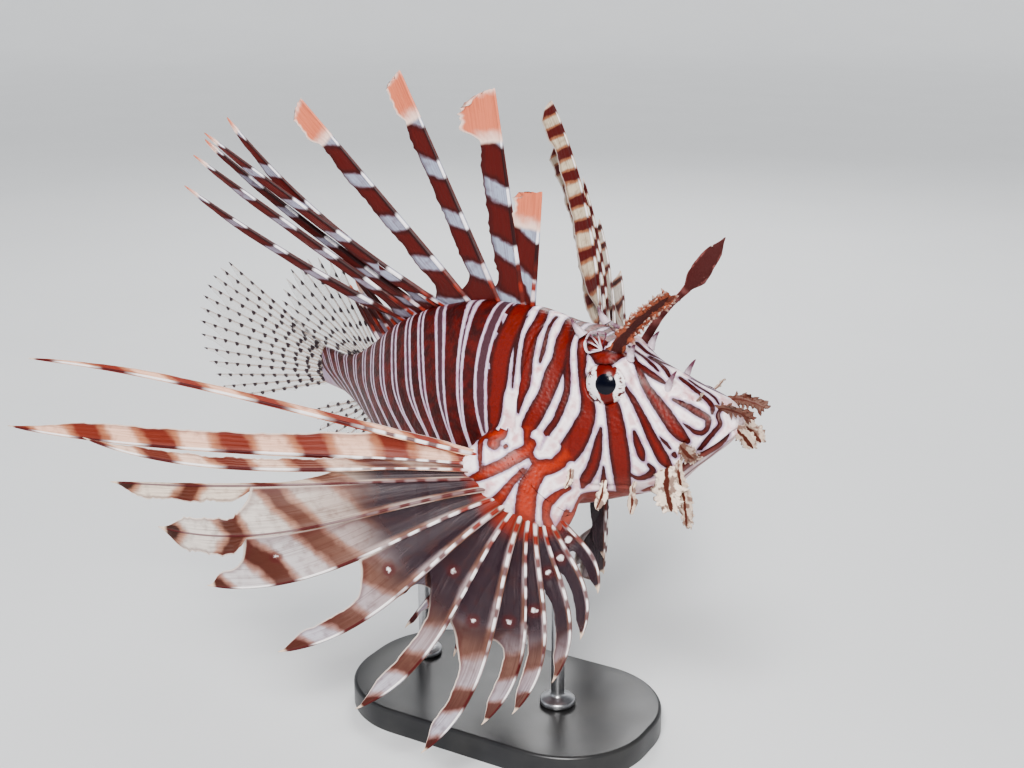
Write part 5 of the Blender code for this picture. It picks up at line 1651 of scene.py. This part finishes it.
@dataclass(frozen=True)
class SkinFinish(Finish):
    """The banded skin, pale between dark red bands on the head and dark between pale lines on the flanks."""

    name: str = "skin_finish"
    pale: Colour = (0.92, 0.82, 0.845)
    blush: Colour = (0.56, 0.20, 0.22)
    rim: Colour = (0.22, 0.13, 0.27)
    band_edge: Colour = (0.016, 0.0014, 0.004)
    band: Colour = (0.058, 0.0028, 0.0015)
    band_heart: Colour = (0.150, 0.0072, 0.0018)
    flank_dark: Colour = (0.036, 0.0020, 0.0017)
    flank_heart: Colour = (0.105, 0.0052, 0.0020)
    between_lines: Colour = (0.070, 0.026, 0.036)
    base_band: Colour = (0.32, 0.024, 0.0035)
    belly: Colour = (0.42, 0.17, 0.14)
    line_width: float = 0.66

    def paint(self, graph: Graph, shader: bpy.types.Node, effects: Effects) -> None:
        """Links colour, roughness and relief into the shader."""
        flank = graph.attribute("flank")
        off = graph.math("MULTIPLY", graph.math("PINGPONG", graph.attribute("phase"), 0.5),
                         graph.attribute("spacing"))
        gap = graph.attribute("gap")
        line = graph.math("SUBTRACT", self.line_width, graph.math("ABSOLUTE", graph.math("SUBTRACT", off, gap)))
        distance = graph.between(flank, graph.attribute("ink"), line)
        edge = graph.group(effects.painted_edge, Distance=distance, Softness=0.16, Wobble=0.75, Grain=520.0)
        depth = edge["Depth"]
        mottle = graph.noise(260.0, 5.0)
        speck = graph.noise(1900.0, 2.0)
        head_dark = graph.ramp(depth, ((0.0, self.band_edge), (0.30, self.band), (0.90, self.band_heart)))
        flank_dark = graph.mix(graph.step(mottle, 0.35, 0.7), self.flank_dark, self.flank_heart)
        inside_pair = graph.step(graph.math("SUBTRACT", gap, off), 0.1, 0.5)
        flank_dark = graph.mix(inside_pair, flank_dark, self.between_lines)
        dark = graph.mix(flank, head_dark, flank_dark)
        base_dark = graph.mix(depth, self.band, self.base_band)
        dark = graph.mix(graph.attribute("base"), dark, base_dark)
        dark = graph.mix(graph.math("MULTIPLY", graph.step(speck, 0.52, 0.75), 0.35), dark, self.band_edge)
        pale = graph.mix(graph.math("MULTIPLY", graph.step(mottle, 0.46, 0.70), 0.6), self.pale, self.blush)
        streak = graph.math("MULTIPLY", graph.step(distance, 1.1, 2.2), graph.step(graph.noise(150.0, 4.0), 0.42, 0.62))
        pale = graph.mix(graph.math("MULTIPLY", streak, 0.5), pale, self.blush)
        rim = graph.math("SUBTRACT", 1.0, graph.step(distance, 0.0, 1.3))
        pale = graph.mix(graph.math("MULTIPLY", rim, 0.75), pale, self.rim)
        colour = graph.mix(edge["Mask"], pale, dark)
        belly = graph.math("MULTIPLY", graph.attribute("belly"), 0.38)
        graph.put(shader.inputs["Base Color"], graph.mix(belly, colour, self.belly))
        roughness = graph.group(effects.uneven, Low=0.34, High=0.58, Grain=420.0)["Value"]
        graph.put(shader.inputs["Roughness"], roughness)
        shader.inputs["Specular IOR Level"].default_value = 0.32
        shader.inputs["Coat Weight"].default_value = 0.06
        shader.inputs["Coat Roughness"].default_value = 0.2
        scales = graph.group(effects.fine_scales, Grain=780.0, Roughening=0.35)["Height"]
        self.relief(graph, shader, scales, 0.00035, 0.55)


@dataclass(frozen=True)
class BandedFinFinish(Finish):
    """Rays banded in dark red and cream, with darker, slightly clear webs between them near the body.

    The first of two colours, periods or shares belongs to the fin's leading ray and the second to its last.
    Bands are counted back from each ray's coloured tip, and the lead is where the first dark one lies.
    """

    name: str = "banded_fin_finish"
    dark: Colour = (0.075, 0.006, 0.006)
    pale: Colour = (0.88, 0.83, 0.83)
    vane_dark: tuple = ((0.0, (0.200, 0.024, 0.011)), (0.25, (0.085, 0.020, 0.009)), (1.0, (0.034, 0.005, 0.009)))
    vane_pale: tuple = ((0.0, (0.78, 0.46, 0.33)), (0.13, (0.76, 0.50, 0.38)), (0.25, (0.62, 0.55, 0.47)),
                        (0.45, (0.44, 0.42, 0.47)), (1.0, (0.28, 0.27, 0.34)))
    blend: Colour = (0.36, 0.12, 0.045)
    blend_share: float = 0.75
    edge_line: Colour = (0.66, 0.56, 0.50)
    margin: float = 0.3
    dusk: Colour = (0.21, 0.115, 0.085)
    dusk_reach: float = 42.0
    dusk_share: float = 0.6
    slim: float = 1.4
    end_shade: Colour = (0.028, 0.010, 0.007)
    end_share: float = 0.8
    web: Colour = (0.026, 0.011, 0.018)
    root: Colour = (0.22, 0.022, 0.010)
    tip: Colour = (0.72, 0.56, 0.44)
    tip_rim: Colour = (0.80, 0.70, 0.60)
    tip_length: float = 0.0
    periods: tuple = (30.0, 15.5)
    lead: float = 4.5
    share: float = 0.50
    jitter: float = 0.12
    slant: float = 0.16
    softness: tuple = (3.6, 0.8)
    inner: float = 50.0
    inner_period: float = 8.0
    web_cover: float = 0.84
    spots: float = 1.0

    def paint(self, graph: Graph, shader: bpy.types.Node, effects: Effects) -> None:
        """Links colour, roughness and relief into the shader."""
        along, back, order = (graph.attribute(name) for name in ("along", "back", "order"))
        shaft, vane, width = (graph.attribute(name) for name in ("shaft", "vane", "width"))
        own = graph.attribute("ray")
        shift = graph.math("ADD", graph.math("MULTIPLY", own, self.jitter), graph.math("MULTIPLY", vane, self.slant))
        bands = graph.group(effects.ray_bands, Along=graph.math("SUBTRACT", back, self.lead),
                            Period=graph.between(order, *self.periods), Dark=self.share, Shift=shift,
                            Wobble=0.35)["Distance"]
        leaf_rays = graph.math("MULTIPLY", graph.step(order, 0.18, 0.22),
                               graph.math("SUBTRACT", 1.0, graph.step(order, 0.33, 0.42)))
        bands = graph.math("ADD", bands, graph.math("MULTIPLY", leaf_rays, self.slim))
        edge = graph.group(effects.painted_edge, Distance=bands, Softness=graph.between(order, *self.softness),
                           Wobble=2.4, Grain=330.0)["Mask"]
        near = graph.group(effects.ray_bands, Along=along, Period=self.inner_period, Dark=0.45,
                           Shift=graph.math("MULTIPLY", own, 3.0), Wobble=0.4)["Distance"]
        near = graph.group(effects.painted_edge, Distance=near, Softness=0.8, Wobble=1.2, Grain=500.0)["Mask"]
        inner = graph.math("SUBTRACT", 1.0, graph.step(along, self.inner - 9.0, self.inner + 9.0))
        root = graph.math("SUBTRACT", 1.0, graph.step(along, 10.0, 24.0))
        film_root = graph.math("SUBTRACT", 1.0, graph.step(along, 7.0, 14.0))
        across = graph.math("MULTIPLY", graph.math("MULTIPLY", vane, width), 1.7)
        lines = graph.node("ShaderNodeCombineXYZ", {"X": across, "Y": graph.math("MULTIPLY", along, 0.05),
                                                   "Z": graph.math("MULTIPLY", own, 40.0)}).outputs[0]
        lines = graph.noise(1.0, 4.0, lines)
        mottle = graph.noise(300.0, 5.0)
        rib = graph.mix(graph.between(inner, edge, graph.math("MULTIPLY", near, 0.9)), self.pale, self.dark)
        rib = graph.mix(graph.math("MULTIPLY", root, graph.between(near, 0.35, 1.0)), rib, self.root)
        deep = graph.ramp(order, self.vane_dark)
        near_end = graph.math("SUBTRACT", 1.0, graph.step(back, 8.0, 34.0))
        near_end = graph.math("MULTIPLY", graph.math("MULTIPLY", near_end, leaf_rays), self.end_share)
        deep = graph.mix(near_end, deep, self.end_shade)
        ends = graph.math("MULTIPLY", graph.step(bands, -2.8, -0.6), self.margin)
        leaf = graph.mix(edge, graph.ramp(order, self.vane_pale), graph.mix(ends, deep, self.dark))
        soft = graph.math("MULTIPLY", edge, graph.math("SUBTRACT", 1.0, edge))
        soft = graph.math("MULTIPLY", soft, graph.between(order, 4.0 * self.blend_share, 0.0))
        leaf = graph.mix(soft, leaf, self.blend)
        near_web = graph.math("SUBTRACT", 1.0, graph.step(along, self.inner, self.inner + self.dusk_reach))
        leaf = graph.mix(graph.math("MULTIPLY", near_web, graph.math("MULTIPLY", graph.step(order, 0.1, 0.2),
                                                                     self.dusk_share)), leaf, self.dusk)
        blot = graph.math("MULTIPLY", graph.step(mottle, 0.46, 0.76), 0.36)
        leaf = graph.mix(blot, leaf, deep)
        leaf = graph.mix(graph.math("MULTIPLY", graph.step(lines, 0.46, 0.66), 0.3), leaf, deep)
        leaf = graph.mix(graph.math("MULTIPLY", graph.step(vane, 0.70, 0.90), 0.4), leaf, self.dark)
        leaf = graph.mix(graph.math("MULTIPLY", graph.step(vane, 0.90, 0.97), 0.8), leaf, self.edge_line)
        film = graph.mix(graph.math("MULTIPLY", graph.step(mottle, 0.5, 0.7), 0.35), self.web, deep)
        film = graph.mix(graph.math("MULTIPLY", graph.step(lines, 0.5, 0.7), 0.16), film, leaf)
        film = graph.mix(film_root, film, self.root)
        joined = graph.math("MULTIPLY", inner, graph.step(vane, 0.02, 0.16))
        joined = graph.math("MULTIPLY", joined, graph.step(order, 0.05, 0.25))
        colour = graph.mix(joined, leaf, film)
        if self.spots:
            spot = graph.math("ADD", graph.attribute("spot"), graph.math("MULTIPLY", graph.noise(700.0, 3.0), 1.6))
            ring = graph.math("SUBTRACT", 1.0, graph.step(spot, 2.6, 4.4))
            core = graph.math("MULTIPLY", graph.step(spot, 1.0, 1.5),
                              graph.math("SUBTRACT", 1.0, graph.step(spot, 1.9, 2.5)))
            lower = graph.step(order, 0.34, 0.40)
            colour = graph.mix(graph.math("MULTIPLY", ring, graph.math("MULTIPLY", lower, 0.7)), colour, self.dark)
            colour = graph.mix(graph.math("MULTIPLY", core, graph.math("MULTIPLY", lower, self.spots)), colour,
                               self.pale)
        rib = graph.mix(graph.math("MULTIPLY", graph.attribute("keel"), 0.85), rib, self.dark)
        colour = graph.mix(graph.step(shaft, 0.0, 0.45), colour, rib)
        end = graph.math("SUBTRACT", 1.0, graph.step(graph.math("ADD", back, mottle), -0.4, 1.4))
        tip = graph.mix(graph.math("MULTIPLY", graph.step(lines, 0.4, 0.7), 0.28), self.tip, self.root)
        tip = graph.mix(graph.step(vane, 0.84, 1.0), tip, self.tip_rim)
        if self.tip_length:
            wander = graph.math("ADD", back, graph.math("MULTIPLY", mottle, 5.0))
            tip = graph.mix(graph.math("MULTIPLY", graph.step(wander, -3.5, 2.0), 0.8), tip, self.tip_rim)
            far = graph.math("SUBTRACT", 1.0, graph.step(wander, 2.0 - self.tip_length, 5.0 - self.tip_length))
            tip = graph.mix(graph.math("MULTIPLY", far, 0.7), tip, self.tip_rim)
        graph.put(shader.inputs["Base Color"], graph.mix(end, colour, tip))
        if self.web_cover < 1.0:
            cover = graph.math("SUBTRACT", 1.0, graph.math("MULTIPLY", joined, 1.0 - self.web_cover))
            graph.put(shader.inputs["Alpha"], cover)
        graph.put(shader.inputs["Roughness"], graph.group(effects.uneven, Low=0.36, High=0.58, Grain=350.0)["Value"])
        shader.inputs["Specular IOR Level"].default_value = 0.3
        folds = graph.math("SINE", graph.math("MULTIPLY", vane, 26.0))
        height = graph.math("ADD", graph.math("MULTIPLY", folds, 0.25), lines)
        self.relief(graph, shader, height, 0.00025, 0.5)


@dataclass(frozen=True)
class ClearFinFinish(Finish):
    """A mostly clear fin with rows of dark spots along its rays."""

    name: str = "clear_fin_finish"
    film: Colour = (0.55, 0.52, 0.50)
    ray: Colour = (0.46, 0.34, 0.28)
    spot: Colour = (0.025, 0.010, 0.014)
    period: float = 7.8

    def paint(self, graph: Graph, shader: bpy.types.Node, effects: Effects) -> None:
        """Links colour, cover and relief into the shader."""
        shift = graph.math("MULTIPLY", graph.attribute("ray"), 0.8)
        bands = graph.group(effects.ray_bands, Along=graph.attribute("along"), Period=self.period, Dark=0.32,
                            Shift=shift, Wobble=0.25)["Distance"]
        sideways = graph.math("MULTIPLY", graph.attribute("vane"), graph.attribute("width"))
        sideways = graph.math("MULTIPLY", graph.math("MULTIPLY", sideways, sideways), 0.9)
        round_off = graph.math("ADD", bands, sideways)
        dots = graph.group(effects.painted_edge, Distance=round_off, Softness=0.3, Wobble=0.8, Grain=900.0)["Mask"]
        shaft = graph.step(graph.attribute("shaft"), 0.0, 0.5)
        colour = graph.mix(shaft, self.film, self.ray)
        colour = graph.mix(dots, colour, self.spot)
        graph.put(shader.inputs["Base Color"], colour)
        cover = graph.math("ADD", 0.16, graph.math("MULTIPLY", shaft, 0.5))
        cover = graph.math("MAXIMUM", cover, graph.math("MULTIPLY", dots, 0.92))
        cover = graph.math("ADD", cover, graph.math("MULTIPLY", graph.noise(300.0, 4.0), 0.1), clamp=True)
        graph.put(shader.inputs["Alpha"], cover)
        graph.put(shader.inputs["Roughness"], graph.group(effects.uneven, Low=0.25, High=0.45, Grain=300.0)["Value"])
        self.relief(graph, shader, graph.noise(900.0, 3.0), 0.0001, 0.4)


@dataclass(frozen=True)
class FrondFinish(Finish):
    """Frilly flesh with a dark middle and pale edges, mottled, and banded along its length where asked."""

    name: str = "frond_finish"
    dark: Colour = (0.085, 0.016, 0.007)
    pale: Colour = (0.80, 0.66, 0.54)
    middle: float = 0.14
    mottling: float = 0.9
    rust: float = 0.75
    period: float = 0.0
    band_share: float = 0.35
    stalk: float = 0.55
    finger_tip: Colour = (0.86, 0.78, 0.70)
    tip_share: float = 0.7

    def paint(self, graph: Graph, shader: bpy.types.Node, effects: Effects) -> None:
        """Links colour, roughness and relief into the shader."""
        mottle = graph.noise(380.0, 5.0)
        edge = graph.attribute("edge")
        wander = graph.math("MULTIPLY", graph.math("SUBTRACT", mottle, 0.5), self.mottling)
        share = graph.step(graph.math("ADD", edge, wander), self.middle, self.middle + 0.16)
        share = graph.math("MULTIPLY", share, graph.math("SUBTRACT", 1.0, graph.attribute("tone")))
        patches = graph.math("MULTIPLY", graph.step(graph.noise(330.0, 2.0), 0.50, 0.60), self.rust)
        share = graph.math("MULTIPLY", share, graph.math("SUBTRACT", 1.0, patches))
        if self.period:
            bands = graph.group(effects.ray_bands, Along=graph.attribute("along"), Period=self.period, Dark=0.6,
                                Shift=0.1, Wobble=0.1)["Distance"]
            stalk = graph.math("SUBTRACT", 1.0, graph.step(graph.attribute("along"), self.stalk, self.stalk + 0.08))
            bands = graph.math("MULTIPLY", graph.step(bands, -0.02, 0.02), stalk)
            share = graph.between(self.band_share, share, bands)
        ends = graph.math("SUBTRACT", 1.0, graph.attribute("tone"))
        ends = graph.math("MULTIPLY", graph.step(graph.attribute("tip"), 0.62, 0.95), ends)
        ends = graph.math("MULTIPLY", ends, self.tip_share)
        colour = graph.mix(ends, graph.mix(share, self.dark, self.pale), self.finger_tip)
        graph.put(shader.inputs["Base Color"], colour)
        graph.put(shader.inputs["Roughness"], graph.group(effects.uneven, Low=0.4, High=0.62, Grain=600.0)["Value"])
        shader.inputs["Specular IOR Level"].default_value = 0.3
        scales = graph.group(effects.fine_scales, Grain=1500.0, Roughening=0.6)["Height"]
        self.relief(graph, shader, scales, 0.0002, 0.5)


@dataclass(frozen=True)
class HornFinish(Finish):
    """Bony horn, pale at the root with a dark, worn tip."""

    name: str = "horn_finish"
    root: Colour = (0.60, 0.50, 0.56)
    tip: Colour = (0.11, 0.030, 0.055)

    def paint(self, graph: Graph, shader: bpy.types.Node, effects: Effects) -> None:
        """Links colour, roughness and relief into the shader."""
        worn = graph.math("ADD", graph.attribute("along"), graph.math("MULTIPLY", graph.noise(700.0, 4.0), 0.5))
        graph.put(shader.inputs["Base Color"], graph.mix(graph.step(worn, 0.55, 1.15), self.root, self.tip))
        graph.put(shader.inputs["Roughness"], graph.group(effects.uneven, Low=0.3, High=0.5, Grain=600.0)["Value"])
        scales = graph.group(effects.fine_scales, Grain=1300.0, Roughening=0.5)["Height"]
        self.relief(graph, shader, scales, 0.00015, 0.5)


@dataclass(frozen=True)
class EyeFinish(Finish):
    """A glossy eye: dark pupil, and a pale iris with dark flecks and the head's dark bar through it."""

    name: str = "eye_finish"
    pupil: Colour = (0.0020, 0.0026, 0.0085)
    iris: Colour = (0.83, 0.79, 0.79)
    fleck: Colour = (0.085, 0.020, 0.018)
    band: Colour = (0.125, 0.0075, 0.0035)
    rim: Colour = (0.050, 0.006, 0.007)
    pupil_radius: float = 3.7
    iris_radius: float = 7.5
    band_half: float = 2.9

    def paint(self, graph: Graph, shader: bpy.types.Node, effects: Effects) -> None:
        """Links colour, roughness and relief into the shader."""
        off = graph.attribute("off")
        pupil_off = graph.attribute("pupil")
        spin = graph.math("MULTIPLY", graph.attribute("spin"), 3.0)
        where = graph.node("ShaderNodeCombineXYZ", {"X": graph.math("MULTIPLY", off, 0.55), "Y": spin}).outputs[0]
        streak = graph.noise(1.0, 3.0, where)
        fleck = graph.math("MULTIPLY", graph.step(streak, 0.54, 0.59), graph.step(off, 4.6, 5.8))
        colour = graph.mix(fleck, self.iris, self.fleck)
        wander = graph.math("ADD", graph.attribute("level"), graph.math("MULTIPLY", graph.noise(420.0, 3.0), 1.8))
        band = graph.math("SUBTRACT", 1.0, graph.step(wander, self.band_half + 0.6, self.band_half + 1.2))
        colour = graph.mix(band, colour, self.band)
        colour = graph.mix(graph.step(off, self.iris_radius - 0.25, self.iris_radius + 0.1), colour, self.rim)
        hole = graph.math("SUBTRACT", 1.0, graph.step(pupil_off, self.pupil_radius - 0.15,
                                                      self.pupil_radius + 0.15))
        graph.put(shader.inputs["Base Color"], graph.mix(hole, colour, self.pupil))
        graph.put(shader.inputs["Roughness"], graph.between(hole, 0.34, 0.2))
        shader.inputs["Specular IOR Level"].default_value = 0.2
        shader.inputs["Coat Weight"].default_value = 0.22
        shader.inputs["Coat Roughness"].default_value = 0.04
        self.relief(graph, shader, streak, 0.0002, 0.3)


@dataclass(frozen=True)
class BaseFinish(Finish):
    """Satin black lacquer with a faint, fine grain."""

    name: str = "base_finish"
    black: Colour = (0.018, 0.018, 0.020)
    dust: Colour = (0.040, 0.039, 0.038)

    def paint(self, graph: Graph, shader: bpy.types.Node, effects: Effects) -> None:
        """Links colour, roughness and relief into the shader."""
        cloud = graph.noise(45.0, 6.0)
        graph.put(shader.inputs["Base Color"], graph.mix(graph.step(cloud, 0.4, 0.8), self.black, self.dust))
        graph.put(shader.inputs["Roughness"], graph.group(effects.uneven, Low=0.28, High=0.42, Grain=90.0)["Value"])
        self.relief(graph, shader, graph.noise(2600.0, 4.0), 0.00006, 0.35)


@dataclass(frozen=True)
class SteelFinish(Finish):
    """Brushed steel, its marks running round the rod."""

    name: str = "steel_finish"
    bright: Colour = (0.66, 0.66, 0.67)
    dull: Colour = (0.44, 0.44, 0.46)

    def paint(self, graph: Graph, shader: bpy.types.Node, effects: Effects) -> None:
        """Links colour, roughness and relief into the shader."""
        spread = graph.node("ShaderNodeMapping", {"Vector": graph.place(), "Scale": (60.0, 60.0, 5200.0)})
        marks = graph.noise(1.0, 4.0, spread.outputs["Vector"])
        graph.put(shader.inputs["Base Color"], graph.mix(marks, self.dull, self.bright))
        graph.put(shader.inputs["Roughness"], graph.between(marks, 0.22, 0.44))
        shader.inputs["Metallic"].default_value = 1.0
        self.relief(graph, shader, marks, 0.00003, 0.5)


@dataclass(frozen=True)
class FloorFinish(Finish):
    """A plain pale floor."""

    name: str = "floor_finish"
    light: Colour = (0.72, 0.73, 0.74)
    shade: Colour = (0.68, 0.69, 0.70)

    def paint(self, graph: Graph, shader: bpy.types.Node, effects: Effects) -> None:
        """Links colour and roughness into the shader."""
        graph.put(shader.inputs["Base Color"], graph.mix(graph.noise(7.0, 4.0), self.light, self.shade))
        graph.put(shader.inputs["Roughness"], graph.group(effects.uneven, Low=0.5, High=0.62, Grain=12.0)["Value"])
        self.relief(graph, shader, graph.noise(900.0, 2.0), 0.00005, 0.15)


@dataclass(frozen=True)
class Lamp:
    """A soft area light."""

    name: str
    place: tuple
    size: float
    power: float
    colour: Colour = (1.0, 1.0, 1.0)


@dataclass(frozen=True)
class Studio:
    """The floor, which curves up into a round wall, and the lights and camera."""

    target: tuple = (0.012, -0.015, 0.144)
    eye: tuple = (0.2592, -0.4432, 0.2952)
    lens: float = 50.0
    sensor: float = 36.0
    floor_reach: float = 3.4
    wall_reach: float = 5.2
    wall_height: float = 2.6
    sky: Colour = (0.90, 0.94, 1.0)
    sky_power: float = 0.15
    lamps: tuple = (
        Lamp("key", (0.50, -0.95, 0.80), 0.26, 12.5, (1.0, 0.98, 0.95)),
        Lamp("fill", (-0.95, -0.85, 0.55), 0.8, 2.0, (0.90, 0.95, 1.0)),
        Lamp("back", (-0.45, 1.0, 0.9), 0.5, 7.0),
    )

    ceiling: tuple = (0.25, -0.95, 1.35)
    ceiling_power: float = 2.6
    ceiling_spread: float = 22.0
    look: str = "AgX - Medium High Contrast"

    def aim(self, piece: bpy.types.Object, place: tuple) -> None:
        """Puts an object at a place and turns it to the fish."""
        piece.location = place
        away = Vector(self.target) - Vector(place)
        piece.rotation_euler = away.to_track_quat("-Z", "Y").to_euler()
        bpy.context.scene.collection.objects.link(piece)

    def build(self, effects: Effects) -> None:
        """Makes the floor, lights, sky and camera."""
        rows, sides = 40, 96
        share = np.linspace(0, 1, rows)[:, None]
        bend = np.clip((share - 0.4) / 0.6, 0, 1)
        reach = np.where(share < 0.4, 0.01 + self.floor_reach * share / 0.4,
                         self.floor_reach + (self.wall_reach - self.floor_reach) * np.sin(bend * math.pi / 2))
        height = self.wall_height * (1 - np.cos(bend * math.pi / 2))
        angle = np.linspace(0, 2 * math.pi, sides, endpoint=False)[None]
        points = np.stack(np.broadcast_arrays(reach * np.cos(angle), reach * np.sin(angle), height), -1)
        points = np.concatenate([points.reshape(-1, 3), np.zeros((1, 3))])
        faces = grid_faces(rows, sides, closed=True)
        faces += [(k, (k + 1) % sides, rows * sides) for k in range(sides)]
        mesh = bpy.data.meshes.new("floor")
        mesh.from_pydata(points.tolist(), [], faces)
        mesh.shade_smooth()
        floor = bpy.data.objects.new("floor", mesh)
        bpy.context.scene.collection.objects.link(floor)
        mesh.materials.append(FloorFinish().material(effects))
        for lamp in self.lamps:
            light = bpy.data.lights.new(lamp.name, "AREA")
            light.size, light.energy, light.color = lamp.size, lamp.power, lamp.colour
            piece = bpy.data.objects.new(lamp.name, light)
            self.aim(piece, lamp.place)
        sun = bpy.data.lights.new("ceiling", "SUN")
        sun.energy, sun.angle = self.ceiling_power, math.radians(self.ceiling_spread)
        self.aim(bpy.data.objects.new("ceiling", sun), self.ceiling)
        world = bpy.data.worlds.new("studio")
        world.use_nodes = True
        background = world.node_tree.nodes["Background"]
        background.inputs["Color"].default_value = (*self.sky, 1.0)
        background.inputs["Strength"].default_value = self.sky_power
        bpy.context.scene.world = world
        data = bpy.data.cameras.new("camera")
        data.lens, data.sensor_width = self.lens, self.sensor
        data.clip_start, data.clip_end = 0.01, 20.0
        camera = bpy.data.objects.new("camera", data)
        self.aim(camera, self.eye)
        bpy.context.scene.camera = camera
        bpy.context.scene.view_settings.look = self.look


@dataclass
class Display:
    """The whole model: every piece, its finish, and what it stands for."""

    body: Anatomy = field(default_factory=Anatomy)
    eyes: EyePlan = field(default_factory=EyePlan)
    effects: Effects = field(default_factory=Effects)
    made: dict = field(default_factory=dict)

    def dress(self, piece: bpy.types.Object, finish: Finish, slot: str, nodes: Sequence[str]) -> None:
        """Gives a piece its material and body, and hides the nodes that it stands for."""
        if finish.name not in self.made:
            self.made[finish.name] = finish.material(self.effects)
        piece.data.materials.append(self.made[finish.name])
        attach(piece, "root")
        if nodes:
            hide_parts(*nodes)
        LOG.info("%s stands for %s", piece.name, ", ".join(nodes) or "a detail of the head")

    def build(self) -> None:
        """Builds and dresses every piece in order from the body outwards."""
        skin = Skin(self.body, self.eyes).build()
        self.dress(skin, SkinFinish(), "skin", ("head", "lower_jaw", "torso", "tail"))
        for piece, node in Eyes(self.body, self.eyes).build():
            self.dress(piece, EyeFinish(), "eye", (node,))
        frond_finishes = {
            "frond": (FrondFinish(), "skin"),
            "horn": (HornFinish(), "skin"),
            "frilled": (FrondFinish("frilled_tentacle_finish", dark=(0.050, 0.008, 0.006),
                                    pale=(0.26, 0.07, 0.035), middle=0.50, tip_share=0.35), "tentacle"),
            "banded": (FrondFinish("banded_tentacle_finish", dark=(0.062, 0.009, 0.008),
                                   pale=(0.30, 0.11, 0.10), middle=0.80, mottling=0.9, rust=0.5, period=0.12),
                       "tentacle"),
        }
        for piece, nodes, kind in HeadDressing(self.body).build():
            self.dress(piece, *frond_finishes[kind], nodes)
        pectorals = {
            "pectoral_fin_right": BandedFinFinish("near_pectoral_finish"),
            "pectoral_fin_left": BandedFinFinish("far_pectoral_finish", periods=(16.0, 15.5), softness=(1.6, 0.8),
                                                 vane_dark=((0.0, (0.095, 0.012, 0.010)),
                                                            (1.0, (0.042, 0.007, 0.011))),
                                                 vane_pale=((0.0, (0.62, 0.52, 0.38)), (0.5, (0.46, 0.44, 0.44)),
                                                            (1.0, (0.28, 0.26, 0.32)))),
        }
        pelvic = BandedFinFinish("pelvic_finish", periods=(13.0, 11.0), inner=14.0, softness=(1.0, 0.8),
                                 vane_pale=((0.0, (0.40, 0.33, 0.38)), (1.0, (0.26, 0.24, 0.30))),
                                 vane_dark=((0.0, (0.06, 0.010, 0.012)), (1.0, (0.042, 0.007, 0.011))))
        for piece, node in PairedFins(self.body).build():
            self.dress(piece, pectorals.get(node, pelvic), "spiny_fin", (node,))
        dorsal = BandedFinFinish("dorsal_finish", dark=(0.028, 0.003, 0.004), pale=(0.84, 0.80, 0.84),
                                 vane_dark=((0.0, (0.085, 0.0060, 0.0035)), (1.0, (0.070, 0.005, 0.004))),
                                 vane_pale=((0.0, (0.32, 0.36, 0.46)), (1.0, (0.16, 0.10, 0.13))),
                                 blend=(0.10, 0.03, 0.03), blend_share=0.5, edge_line=(0.060, 0.006, 0.006),
                                 margin=0.75, tip=(0.62, 0.18, 0.10), tip_rim=(0.84, 0.66, 0.58), tip_length=19.0,
                                 periods=(21.5, 19.0), lead=11.5, share=0.67, slant=0.24, softness=(0.9, 0.9),
                                 inner=-20.0, dusk_share=0.0, end_share=0.0, slim=0.0, web_cover=1.0, spots=0.0)
        for piece, node, clear in MidlineFins(self.body).build():
            self.dress(piece, ClearFinFinish() if clear else dorsal, "clear_fin" if clear else "spiny_fin",
                       (node,))
        for piece, node in Stand(self.body).build():
            base = node == "stand_base"
            self.dress(piece, BaseFinish() if base else SteelFinish(), "stand_base" if base else "stand_rod",
                       (node,))
        Studio().build(self.effects)


def main() -> None:
    """Builds the model."""
    logging.basicConfig(level=logging.INFO, format="%(message)s")
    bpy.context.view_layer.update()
    Display().build()
    bpy.context.view_layer.update()
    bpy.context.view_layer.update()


if __name__ == "__main__":
    main()
